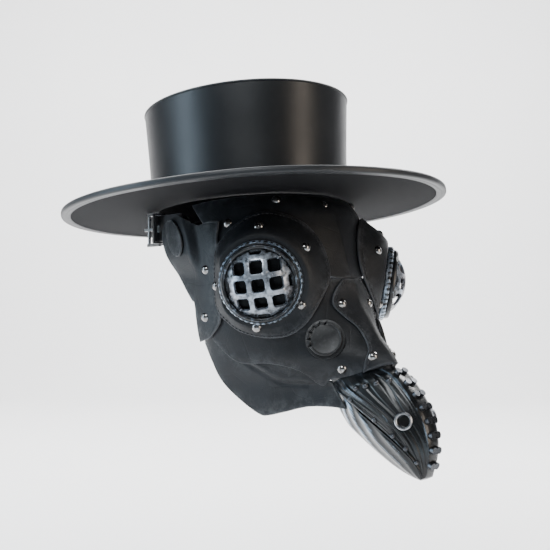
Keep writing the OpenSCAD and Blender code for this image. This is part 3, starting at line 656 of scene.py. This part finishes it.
def nose_bridge():
    u, w = fine_steps(90, 85), fine_steps(30, 28) * 2 - 1
    half, drop = along(BRIDGE_HALF, u)[:, None], along(BRIDGE_DROP, u)[:, None, 0]
    girth = half[..., 0] * w
    z = drop + (half[..., 1] - drop) * w**2
    obj = leather_sheet("bridge_leather", raised, girth, z, LAYER_TOP, relief=lambda g, h, d: groove(d, 2.2, 0.45, 0.25))
    give(obj, "black_leather", "mask", "nose_bridge")
    line = along(BRIDGE_HALF, np.linspace(0.02, 0.98, 120))
    for way in (-1, 1):
        g = way * (line[:, 0] - 1.7)
        stitches("bridge_stitches_" + ("right" if way > 0 else "left"), raised(g, line[:, 1] - 0.4, np.full(len(g), LAYER_TOP + LEATHER)),
                 face_normal(g, line[:, 1]), "mask")


def ears(side):
    lift = side_lift(side)
    girth, z = panel_grid(FLAP_FRONT, FLAP_REAR, 60, 26, 80, 40)
    obj = leather_sheet("ear_flap_leather_" + side, lambda g, y, h: lift(g, y, h - 1.8 * ease((g - 110) / 24)), girth, z, LAYER_BASE,
                        relief=lambda g, h, d: groove(d, 2.2, 0.45, 0.3))
    give(obj, "grey_leather", "mask", "ear_flap_" + side)
    a = np.radians(np.linspace(82, -82, 48))
    v = fine_steps(16, 19)
    front = np.stack([116.5 - 9.5 * np.cos(a), 39 + 16 * np.sin(a)], -1)
    rear = np.stack([116.5 + 9.5 * np.cos(a), 39 + 16 * np.sin(a)], -1)
    p = front[:, None] + (rear - front)[:, None] * v[None, :, None]
    obj = leather_sheet("ear_disc_leather_" + side, lambda g, y, h: lift(g, y, h + side_rise(g, y)), p[..., 0], p[..., 1],
                        LAYER_TOP + LEATHER + 0.35, relief=lambda g, h, d: groove(d, 2.0, 0.45, 0.3))
    give(obj, "grey_leather", "mask", "ear_disc_" + side)


def brow_pad():
    u, v = fine_steps(50, 90), fine_steps(14, 13)
    low = along([[g, 60] for g in range(-36, 37, 12)], u)[:, None]
    high = along([[g, 73] for g in range(-36, 37, 12)], u)[:, None]
    p = low + (high - low) * v[None, :, None]
    d = edge_distance(raised(p[..., 0], p[..., 1], np.full(p.shape[:2], -6)))
    puff = 2.8 * rounding(d, 5.5)
    quilt = 0.35 * np.cos(p[..., 0] * 2 * math.pi / 12) * ease(d / 4)
    outer = raised(p[..., 0], p[..., 1], -6.65 + puff)
    inner = raised(p[..., 0], p[..., 1], -6.65 - puff + quilt)
    obj = sheet_object("brow_cushion", outer, inner, False, {"edge": np.exp(-d), "near": np.exp(-d / 5)})
    give(obj, "foam_pad", "mask", "brow_pad")


# ---- Eye cups and eyepieces ----
EYE_AT = np.array([-74, -90.5, 0.0])
EYE_AZIMUTH, EYE_DROP = math.radians(45.5), math.radians(8.5)
EYE_OUT = np.array([-math.sin(EYE_AZIMUTH) * math.cos(EYE_DROP), -math.cos(EYE_AZIMUTH) * math.cos(EYE_DROP), -math.sin(EYE_DROP)])
EYE_SIDE = np.array([math.cos(EYE_AZIMUTH), -math.sin(EYE_AZIMUTH), 0])
EYE_UP = np.cross(EYE_OUT, EYE_SIDE)
EYE_OUTLINE = np.array([[12, 3], [13, 31], [24, 52], [45, 60], [66, 48], [81, 28], [84, 2], [83, -20], [72, -38], [56, -46], [41, -43], [26, -26]], float)
SEAT_H = -1.4 - LEATHER
RING_R, RING_LOW, RING_TOP, GLASS_R = 35.0, -1.0, 5.0, 26.0


def eye_space(points, side):
    p = at_frame(points, EYE_AT, EYE_SIDE, EYE_UP, EYE_OUT)
    return p if side == "right" else mirrored(p)


def patch_points(u, v, h):
    n = len(EYE_OUTLINE)
    k = np.floor(u * n).astype(int)
    f = (u * n - k)[..., None]
    a, b, c, d = (EYE_OUTLINE[(k + i) % n] for i in (-1, 0, 1, 2))
    edge = 0.5 * (2 * b + (c - a) * f + (2 * a - 5 * b + 4 * c - d) * f**2 + (3 * b - a - 3 * c + d) * f**3)
    off = face(edge[..., 0], edge[..., 1]) - EYE_AT
    reach = np.hypot(off @ EYE_SIDE, off @ EYE_UP)
    r = 30 + (reach - 30) * v
    centre = np.array([50, 0])
    start = centre + (edge - centre) * (30 / reach)[..., None]
    spot = start + (edge - start) * v[..., None]
    seat = np.minimum(39, reach - 7)
    t = np.maximum(r - seat, 0) / (reach - seat)
    w = (t + (ease(t) - t) * 0.4)[..., None]
    angle = u * 2 * math.pi
    flat = at_frame(np.stack([r * np.cos(angle), r * np.sin(angle), SEAT_H + h], -1), EYE_AT, EYE_SIDE, EYE_UP, EYE_OUT)
    lap = (LEATHER + GAP) * ease((spot[..., 0] - 75) / 5)
    return flat + (raised(spot[..., 0], spot[..., 1], LAYER_TOP + lap + h) - flat) * w


def eye_patch(side):
    u = np.arange(160)[:, None] / 160
    v = fine_steps(30, 36)[None, :]
    u, v = np.broadcast_arrays(u, v)
    u, v = u.copy(), v.copy()
    middle = patch_points(u, v, np.full(u.shape, LEATHER / 2))
    d = edge_distance(middle, True)
    half = LEATHER / 2 * rounding(d)
    outer_d = np.where(v > 0.5, d, 50)
    bumps = groove(outer_d, 2.8, 0.5, 0.35) + 0.25 * waves(middle, 17) * ease(d / 6) + 0.3 * waves(middle, 7, 3.0) * ease((v - 0.3) / 0.3) * ease(d / 6) * 0.4
    outer = patch_points(u, v, LEATHER / 2 + half + bumps)
    inner = patch_points(u, v, LEATHER / 2 - half)
    if side == "left":
        outer, inner = mirrored(outer), mirrored(inner)
    obj = sheet_object("eye_cup_leather_" + side, outer, inner, True, {"edge": np.exp(-outer_d / 0.9), "near": np.exp(-outer_d / 7)})
    give(obj, "black_leather", "mask", "eye_patch_" + side)
    turn = np.linspace(0, 1, 240, endpoint=False)
    inset = np.full(turn.shape, 0.92)
    path = patch_points(turn, inset, np.full(turn.shape, LEATHER + 0.05))
    out = patch_points(turn, inset, np.full(turn.shape, LEATHER + 3.0)) - path
    if side == "left":
        path, out = mirrored(path), mirrored(out)
    stitches("eye_cup_stitches_" + side, path, out, "mask")


def ring_attributes(grid, turn, count, high):
    flow = np.stack([turn, np.hypot(grid[..., 0], grid[..., 1]) / 10, grid[..., 2] / 10], -1)
    return {"flow": flow, "high": high}


def eye_ring(side):
    corners = [[GLASS_R, RING_LOW], [RING_R - 1, RING_LOW], [RING_R, RING_LOW + 1], [RING_R, RING_TOP - 1.5], [RING_R - 1.2, RING_TOP - 0.2], [33.4, RING_TOP - 0.2],
               [33.0, RING_TOP - 0.9], [32.6, RING_TOP], [GLASS_R, RING_TOP]]
    profile = rounded_profile(corners, 0.7)
    grid, turn = lathe(profile, 192)
    r = np.hypot(grid[..., 0], grid[..., 1])
    notch = np.clip(np.cos(turn * 2 * math.pi * 44) * 3 - 1.2, 0, 1) * ((r > 33.8) & (grid[..., 2] > 2)).astype(float)
    shrink = 1 - 0.45 * notch / np.maximum(r, 1)
    grid = grid * np.stack([shrink, shrink, np.ones_like(shrink)], -1)
    high = np.where(r > 33, 0.55, 0.15) - 0.8 * notch
    give(loop_object("eye_flange_" + side, eye_space(grid, side), ring_attributes(grid, turn, 44, high)), "aged_silver_frame", "mask", "eye_ring_" + side, material=RING_SILVER)


def eye_bezel(side):
    low = RING_TOP + 0.05
    corners = [[28.4, low], [32.5, low], [32.5, low + 2.2], [31.4, low + 4.3], [30.2, low + 4.5], [28.9, low + 4.0], [28.4, low + 3.2]]
    grid, turn = lathe(rounded_profile(corners, 1.0, 6), 160)
    high = ease((grid[..., 2] - low) / 4.5) * 0.45
    give(loop_object("eye_bezel_rim_" + side, eye_space(grid, side), ring_attributes(grid, turn, 0, high)), "aged_silver_frame", "mask", "eye_bezel_" + side, material=BEZEL_SILVER)


DOME_R, DOME_TOP, DOME_WALL = 36.0, RING_TOP + 16, 2.4


def rounded_square(half, corner, steps):
    """Outline of a square with round corners, the same number of points on each side."""
    out = []
    for k in range(4):
        a = math.radians(90 * k)
        for t in np.linspace(-1, 1, steps, endpoint=False):
            y = half * t
            over = max(abs(y) - (half - corner), 0)
            x = half - corner + math.sqrt(max(corner**2 - over**2, 0)) if corner > 0 else half
            out.append([x * math.cos(a) - y * math.sin(a), x * math.sin(a) + y * math.cos(a)])
    return np.array(out)


def eye_grille(side, pitch=15.0, hole=11.0, edge_r=27.7):
    """The domed grille: a skin of square cells with round-cornered holes, trimmed to a circle and given its thickness."""
    steps = 10
    cell, opening, mid = rounded_square(pitch / 2, 0, steps), rounded_square(hole / 2, 2.0, steps), rounded_square(hole / 2 + 0.9, 2.2, steps)
    lean = math.radians(7.5)
    verts, faces = [], []
    for cx in range(-2, 3):
        for cy in range(-2, 3):
            start, n = len(verts), len(cell)
            for ring in (cell, mid, opening):
                verts += [(p[0] + cx * pitch, p[1] + cy * pitch) for p in ring]
            for k in range(2):
                for i in range(n):
                    j = (i + 1) % n
                    faces.append([start + k * n + i, start + k * n + j, start + (k + 1) * n + j, start + (k + 1) * n + i])
    flat = np.array(verts) @ np.array([[math.cos(lean), math.sin(lean)], [-math.sin(lean), math.cos(lean)]])
    r = np.hypot(flat[:, 0], flat[:, 1])
    flat = flat * np.where(r > edge_r, edge_r / np.maximum(r, 1e-6), 1)[:, None]
    r = np.minimum(r, edge_r)
    z = DOME_TOP - DOME_R + np.sqrt(DOME_R**2 - r**2)
    bm = bmesh.new()
    made = [bm.verts.new(Vector((x * MM, y * MM, h * MM))) for (x, y), h in zip(flat, z)]
    for f in faces:
        bm.faces.new([made[i] for i in f])
    bmesh.ops.remove_doubles(bm, verts=bm.verts, dist=0.00002)
    bmesh.ops.dissolve_degenerate(bm, edges=bm.edges, dist=0.00002)
    tiny = [f for f in bm.faces if f.calc_area() < 2e-9]
    bmesh.ops.delete(bm, geom=tiny, context="FACES")
    loose = [v for v in bm.verts if not v.link_faces]
    bmesh.ops.delete(bm, geom=loose, context="VERTS")
    bmesh.ops.recalc_face_normals(bm, faces=bm.faces)
    if sum(f.normal.z for f in bm.faces) < 0:
        bmesh.ops.reverse_faces(bm, faces=bm.faces)
    mesh = bpy.data.meshes.new("eye_dome_" + side)
    bm.to_mesh(mesh)
    bm.free()
    obj = bpy.data.objects.new("eye_dome_" + side, mesh)
    bpy.context.collection.objects.link(obj)
    thick = obj.modifiers.new("thick", "SOLIDIFY")
    thick.thickness, thick.offset = DOME_WALL * MM, -1
    soft = obj.modifiers.new("soft", "BEVEL")
    soft.width, soft.segments, soft.limit_method, soft.angle_limit = 0.55 * MM, 3, "ANGLE", math.radians(50)
    apply_modifiers(obj)
    mesh = obj.data
    p = np.empty(len(mesh.vertices) * 3)
    mesh.vertices.foreach_get("co", p)
    p = p.reshape(-1, 3) / MM
    world = eye_space(p, side) * MM
    mesh.vertices.foreach_set("co", world.reshape(-1))
    if side == "left":
        mesh.flip_normals()
    rad = np.hypot(p[:, 0], p[:, 1])
    layer = mesh.attributes.new("high", "FLOAT", "POINT")
    layer.data.foreach_set("value", 0.75 * ease(1.6 - rad / 26))
    layer = mesh.attributes.new("flow", "FLOAT_VECTOR", "POINT")
    layer.data.foreach_set("vector", (p / 40).reshape(-1))
    mesh.update()
    mesh.shade_smooth()
    mesh.set_sharp_from_angle(angle=math.radians(60))
    give(obj, "aged_silver_frame", "mask", "eye_grille_" + side)


def apply_modifiers(obj):
    graph = bpy.context.evaluated_depsgraph_get()
    mesh = bpy.data.meshes.new_from_object(obj.evaluated_get(graph))
    obj.modifiers.clear()
    obj.data = mesh


# ---- Beak ----
def ridge_line(s):
    s = np.asarray(s)[..., None]
    return cubic(np.array([-168, -66]), np.array([-198, -84]), np.array([-222, -114]), np.array([-205, -150]), s)


def keel_line(s):
    s = np.asarray(s)[..., None]
    return cubic(np.array([-92, -104]), np.array([-125, -118]), np.array([-165, -150]), np.array([-200, -153]), s)


def beak_points(s, f, side, cut, tucked, relief):
    top, low = ridge_line(s), keel_line(s)
    span = np.linalg.norm(low - top, axis=-1)
    down = (low - top) / span[..., None]
    c = np.minimum(cut + tucked, 0.42 * span)
    strip = 6.4 - 3 * s
    half = np.maximum(29 - 8 * s - 14 * s * s - c, 0.8)
    edge = np.maximum(strip - 0.6 * c, 0.5)
    spot = top + down * (c + (span - 2 * c) * f)[..., None]
    x = edge + (half - edge) * np.sin(np.pi * np.clip(f, 0, 1)**0.85)**0.85 + relief
    return np.stack([side * x, spot[..., 0], spot[..., 1]], -1)


def mouth(s):
    return 0.56 - 0.06 * s - 0.27 * s * s


def upper_relief(s, f):
    """Flowing ribs on the upper shell, a welt beside the ridge strip and a thick lip along the mouth."""
    g = f / mouth(s)
    phase = 5.5 * (g + 0.05 * np.sin(5 * s)) + 0.3 * np.sin(8 * s + 5 * g)
    ribs = ease(0.85 + 0.9 * np.cos(2 * np.pi * phase)) * ease((g - 0.1) / 0.08) * ease((0.9 - g) / 0.08) * (0.45 + 0.55 * (1 - s))
    ribs = ribs * (0.7 + 0.3 * np.sin(4 * s + 9 * g))
    welt = np.exp(-((g - 0.05) / 0.03)**2)
    lip = np.exp(-((g - 0.955) / 0.035)**4)
    cut = np.exp(-((g - 0.885) / 0.02)**2)
    return 1.6 * ribs - 0.5 - 0.6 * ease((g - 0.1) / 0.1) + 1.0 * welt + 1.3 * lip - 0.5 * cut


def grommet_hole_and_shade(points):
    """1 inside the grommet hole on each side of the beak, fading to 0 at its rim; the shell is pressed in there and the
    same mask paints the hole's shade near black.
    """
    middle = beak_points(np.array(0.5), np.array(0.17), 1, 0.0, 0.0, 0.0)
    away = np.linalg.norm(np.abs(points) * np.array([1, -1, -1]) - middle * np.array([1, 1, 1]), axis=-1)
    return ease((5.8 - away) / 1.2)


def beak_upper():
    s = np.concatenate([np.linspace(-0.06, 0.0, 6)[:-1], np.linspace(0, 1, 150)])[::-1]
    order = np.linspace(0, 1, 150)
    tucked = 6.4 * (1 - ease((s + 0.06) / 0.16))[:, None]
    grids, high, flow, hole_shade = {}, [], [], []
    for cut in (0.0, 2.4):
        parts = []
        for way in (-1, 1):
            f = mouth(s[:, None]) * (order[::-1] if way == -1 else order)[None, :]
            ss = np.broadcast_to(s[:, None], f.shape)
            tuck = np.broadcast_to(tucked, f.shape)
            if cut:
                parts.append(beak_points(ss, f, way, cut, tuck, np.zeros(f.shape)))
                continue
            relief = upper_relief(ss, f) * ease((ss + 0.02) / 0.12) * (1 - 0.75 * ease((ss - 0.85) / 0.15))
            # The hole mask presses the shell in and also goes to the material as painted shade, near black.
            inside = grommet_hole_and_shade(beak_points(ss, f, way, cut, tuck, np.zeros(f.shape)))
            parts.append(beak_points(ss, f, way, cut, tuck, relief * (1 - inside) - 1.7 * inside))
            high.append(relief)
            hole_shade.append(inside)
            flow.append(np.stack([ss, f, np.full(f.shape, way * 0.3)], -1))
        grids[cut] = np.concatenate(parts, 1)
    values = {"high": np.concatenate(high, 1) * 0.55, "flow": np.concatenate(flow, 1), "hole_shade": np.concatenate(hole_shade, 1)}
    obj = sheet_object("beak_shell", grids[0.0], grids[2.4], False, values, 55)
    give(obj, "aged_silver_beak", "mask", "beak_upper")


def beak_mandible():
    s = 0.06 + (1 - 0.06) * np.linspace(0, 1, 90)
    cols = np.linspace(0, 1, 60)
    tucked = 8.5 * (1 - ease(s / 0.34))
    grids, high, flow = {}, None, None
    for cut in (0.0, 2.4):
        parts = []
        for way in (-1, 1):
            order = cols if way == -1 else cols[::-1]
            m = (mouth(s) + 0.03)[:, None]
            f = m + (1 - m) * order[None, :]
            ss = np.broadcast_to(s[:, None], f.shape)
            g = np.broadcast_to(order[None, :], f.shape)
            leaves = (0.5 + 0.5 * np.cos(2 * np.pi * (2.6 * g - 3.4 * ss + 0.25 * np.sin(9 * ss))))**1.2 * ease(g / 0.1) * ease((1 - g) / 0.2) * (1.1 - ss)
            relief = leaves * 1.9 - 0.5 if cut == 0 else np.zeros(f.shape)
            parts.append(beak_points(ss, f, way, cut, np.broadcast_to(tucked[:, None], f.shape), relief * ease((ss - 0.06) / 0.1)))
            if cut == 0:
                high = relief if high is None else np.concatenate([high, relief], 1)
                spot = np.stack([ss, f, np.full(f.shape, way * 0.3)], -1)
                flow = spot if flow is None else np.concatenate([flow, spot], 1)
        grids[cut] = np.concatenate(parts, 1)
    obj = sheet_object("beak_jaw_shell", grids[0.0], grids[2.4], False, {"high": high * 0.55, "flow": flow}, 55)
    give(obj, "aged_silver_beak", "mask", "beak_mandible")


# ---- Hat ----
HAT_AT = np.array([0, 19.5, 70.5])
TILT = math.radians(4.5)
OPEN_X, OPEN_Y, CROWN_H, FLARE, WALL = 87.5, 101.5, 98.0, 1.05, 2.0
BRIM_X, BRIM_Y = 175.0, 200.0


def hat_space(p):
    y = p[..., 1] * math.cos(TILT) + p[..., 2] * math.sin(TILT)
    z = -p[..., 1] * math.sin(TILT) + p[..., 2] * math.cos(TILT)
    return np.stack([p[..., 0], y, z], -1) + HAT_AT


def oval_sweep(profile, steps=200, sway=0.0, seed=0.0):
    """A closed profile of [offset along x, offset along y, height, share of the sway] swept round the hat."""
    p = np.asarray(profile, float)
    a = np.arange(steps) * 2 * math.pi / steps
    lift = sway * np.array([noise.noise(Vector((math.cos(t) * 1.3 + seed, math.sin(t) * 1.3, seed))) for t in a])
    grid = np.stack([np.cos(a)[:, None] * p[:, 0], np.sin(a)[:, None] * p[:, 1], p[:, 2] + lift[:, None] * p[:, 3]], -1)
    return hat_space(grid)


def hat_ring(name, slot_name, node, profile, sway=0.0, seed=0.0):
    grid = oval_sweep(profile, 200, sway, seed)
    zero = np.zeros(grid.shape[:2])
    give(loop_object(name, grid, {"edge": zero, "near": zero}, 50), slot_name, "hat", node)


def brim_profile(low, high, inset):
    out = []
    for t in np.linspace(0, 1, 14):
        out.append([OPEN_X + (BRIM_X - inset - OPEN_X) * t, OPEN_Y + (BRIM_Y - inset - OPEN_Y) * t, high, t])
    return out + [[x, y, low, w] for x, y, _, w in out[::-1]]


def hat_brim():
    hat_ring("hat_brim_cover", "hat_leather", "hat_brim", brim_profile(1.5, 3.5, 2), 1.2, 2.0)
    hat_ring("hat_brim_underside", "hat_lining", "hat_brim_lining", brim_profile(0.0, 1.4, 2), 1.2, 2.0)
    outer = [[0, 4.4], [-0.3, 4.4], [-4.0, 4.4], [-4.4, 4.1], [-4.8, 4.4], [-7.2, 4.4], [-7.6, 4.1], [-8.0, 4.4], [-8.7, 4.3], [-9, 3.7], [-1.9, 3.6], [-1.9, -0.1],
             [-9, -0.2], [-8.7, -0.8], [-8.0, -0.9], [-7.6, -0.6], [-7.2, -0.9], [-4.8, -0.9], [-4.4, -0.6], [-4.0, -0.9], [-1.2, -0.9], [-0.4, -0.4], [0, 0.6], [0, 2.6], [-0.4, 3.9], [-1.2, 4.4]]
    order = outer[2:]
    hat_ring("hat_brim_edge", "hat_trim", "hat_brim_binding", [[BRIM_X + o, BRIM_Y + o, z, 1] for o, z in order], 1.2, 2.0)


def crown_profile():
    out, back = [], []
    for h in np.concatenate([[3.6, 4.0, 4.8], np.linspace(8, CROWN_H - 3, 12), [CROWN_H - 1.2, CROWN_H - 0.3, CROWN_H]]):
        k = 1 + (FLARE - 1) * h / CROWN_H
        waist = -0.5 * math.sin(math.pi * h / CROWN_H)
        share = h / CROWN_H
        out.append([(OPEN_X + WALL) * k + waist, (OPEN_Y + WALL) * k + waist, h, share * 0.5])
        back.append([OPEN_X * k + waist, OPEN_Y * k + waist, h, share * 0.5])
    return out + back[::-1]


def hat_crown():
    hat_ring("hat_crown_side", "hat_leather", "hat_crown_wall", crown_profile(), 0.8, 5.0)
    a, b = (OPEN_X + WALL) * FLARE, (OPEN_Y + WALL) * FLARE
    top = CROWN_H + 0.1
    hat_ring("hat_crown_seam", "hat_trim", "hat_crown_piping",
             [[a - 0.4 + 1.1 * math.cos(t), b - 0.4 + 1.1 * math.cos(t), top + 1.15 + 1.15 * math.sin(t), 0.5] for t in np.linspace(0, 2 * math.pi, 14, endpoint=False)], 0.8, 5.0)
    steps, rings = 200, 16
    ang = np.arange(steps) * 2 * math.pi / steps
    radii = np.linspace(1, 0, rings)
    upper, lower = [], []
    for r in radii:
        dome = 1.4 * (1 - r**2)
        upper.append(np.stack([np.cos(ang) * (a - 1.7) * r, np.sin(ang) * (b - 1.7) * r, np.full(steps, top + 0.6 + dome)], -1))
        lower.append(np.stack([np.cos(ang) * (a - 1.7) * r, np.sin(ang) * (b - 1.7) * r, np.full(steps, top)], -1))
    upper, lower = hat_space(np.stack(upper, 1)), hat_space(np.stack(lower, 1))
    zero = np.zeros(upper.shape[:2])
    cap = sheet_object("hat_crown_cap", upper, lower, True, {"edge": zero, "near": zero})
    bm = bmesh.new()
    bm.from_mesh(cap.data)
    bmesh.ops.remove_doubles(bm, verts=bm.verts, dist=0.000005)
    bm.to_mesh(cap.data)
    bm.free()
    give(cap, "hat_leather", "hat", "hat_crown_top")
    band = rounded_profile([[0, 4], [0, 34], [-1.2, 34], [-1.2, 4]], 0.5, 3)
    hat_ring("hat_sweat_band", "hat_lining", "hat_sweatband", [[OPEN_X - 0.1 + o, OPEN_Y - 0.1 + o, z, 0] for o, z in band])


# ---- Stage, lights and camera ----
def stage_material():
    n = Nodes("pale_floor")
    base = n.mix(n.noise(3, 3), (0.86, 0.86, 0.87), (0.9, 0.9, 0.9))
    return n.finish(base, 0.7)


def stage():
    low = -0.42
    rows = []
    for t in np.linspace(0, 1, 24):
        a = t * math.pi / 2
        rows.append((2.2 + 0.8 * math.sin(a), low + 0.8 * (1 - math.cos(a))))
    line = [(-4.0, low)] + rows + [(3.0, 4.5)]
    axis, across = Vector((0.6427, 0.766, 0)), Vector((0.766, -0.6427, 0))
    verts, faces = [], []
    for d, z in line:
        for w in (-6, 6):
            p = axis * d + across * w
            verts.append((p.x, p.y, z))
    for i in range(len(line) - 1):
        faces.append([2 * i, 2 * i + 1, 2 * i + 3, 2 * i + 2])
    mesh = bpy.data.meshes.new("floor")
    mesh.from_pydata(verts, [], faces)
    mesh.shade_smooth()
    obj = bpy.data.objects.new("floor", mesh)
    bpy.context.collection.objects.link(obj)
    obj.data.materials.append(stage_material())


def light(name, place, target, size, power, color=(1, 1, 1)):
    data = bpy.data.lights.new(name, "AREA")
    data.shape, data.size, data.size_y, data.energy, data.color = "RECTANGLE", size[0], size[1], power, color
    obj = bpy.data.objects.new(name, data)
    bpy.context.collection.objects.link(obj)
    obj.location = place
    obj.rotation_mode = "QUATERNION"
    obj.rotation_quaternion = (Vector(target) - Vector(place)).to_track_quat("-Z", "Y")


def seen_from_camera(right, toward, up):
    """A place given by how far it is right of the object, toward the camera and up, in metres."""
    return (0.766 * right - 0.643 * toward, -0.643 * right - 0.766 * toward, up)


def lights():
    world = bpy.data.worlds.new("studio")
    bpy.context.scene.world = world
    world.use_nodes = True
    world.node_tree.nodes["Background"].inputs["Color"].default_value = (0.9, 0.95, 1.0, 1)
    world.node_tree.nodes["Background"].inputs["Strength"].default_value = 0.12
    cool, warm, plain = (0.66, 0.84, 1.0), (1.0, 0.86, 0.72), (0.93, 0.97, 1.0)
    light("key", seen_from_camera(-0.35, 1.0, 0.85), (0, -0.05, 0), (0.6, 0.45), 9, plain)
    light("side", seen_from_camera(-1.15, 0.25, 0.1), (0, 0, 0), (0.4, 1.4), 10, cool)
    light("fill", seen_from_camera(1.0, 0.75, 0.2), (0, -0.08, -0.05), (0.4, 0.8), 5, warm)
    light("under", seen_from_camera(0.1, 0.8, -0.38), (0, -0.08, -0.05), (0.7, 0.3), 1.2, cool)
    light("top", seen_from_camera(-0.25, -0.5, 1.1), (0, 0, 0.1), (1.0, 0.6), 9, plain)
    for way in (-1, 1):
        light("backdrop", seen_from_camera(1.1 * way, -0.7, 1.5), seen_from_camera(0.5 * way, -2.6, 0.0), (1.6, 0.8), 125, (1, 1, 1))


def camera():
    data = bpy.data.cameras.new("camera")
    data.lens, data.sensor_width, data.clip_start, data.clip_end = 52.78, 36, 0.02, 50
    obj = bpy.data.objects.new("camera", data)
    bpy.context.collection.objects.link(obj)
    a, e, roll = math.radians(-40), math.radians(-0.83), math.radians(0.15)
    back = Vector((math.sin(a) * math.cos(e), -math.cos(a) * math.cos(e), math.sin(e)))
    right = (-back).cross(Vector((0, 0, 1))).normalized()
    up = right.cross(-back)
    place = back * 0.78 + right * 0.01319 + up * 0.00778
    x = right * math.cos(roll) + up * math.sin(roll)
    y = -right * math.sin(roll) + up * math.cos(roll)
    obj.matrix_world = Matrix(((x.x, y.x, back.x, place.x), (x.y, y.y, back.y, place.y), (x.z, y.z, back.z, place.z), (0, 0, 0, 1)))
    bpy.context.scene.camera = obj


def straps():
    """The two straps, their keeper and the gears, with rounded edges."""
    refined("strap_long", "long_strap_leather", "strap_leather", "mask", 0.6, True)
    refined("strap_short", "short_strap_leather", "strap_leather", "mask", 0.5, True)
    refined("strap_keeper", "keeper_leather", "strap_leather", "mask", 0.4)
    for one in ("right", "left"):
        refined("gear_disc_" + one, "gear_" + one, "black_plastic", "mask", 0.35)


dress_frame()
straps()
forehead()
nose_bridge()
brow_pad()
for one_side in ("right", "left"):
    cheek(one_side)
    jaw(one_side)
    side_panel(one_side)
    ears(one_side)
    eye_patch(one_side)
    eye_ring(one_side)
    eye_bezel(one_side)
    eye_grille(one_side)
beak_upper()
beak_mandible()
hat_brim()
hat_crown()
stage()
lights()
camera()
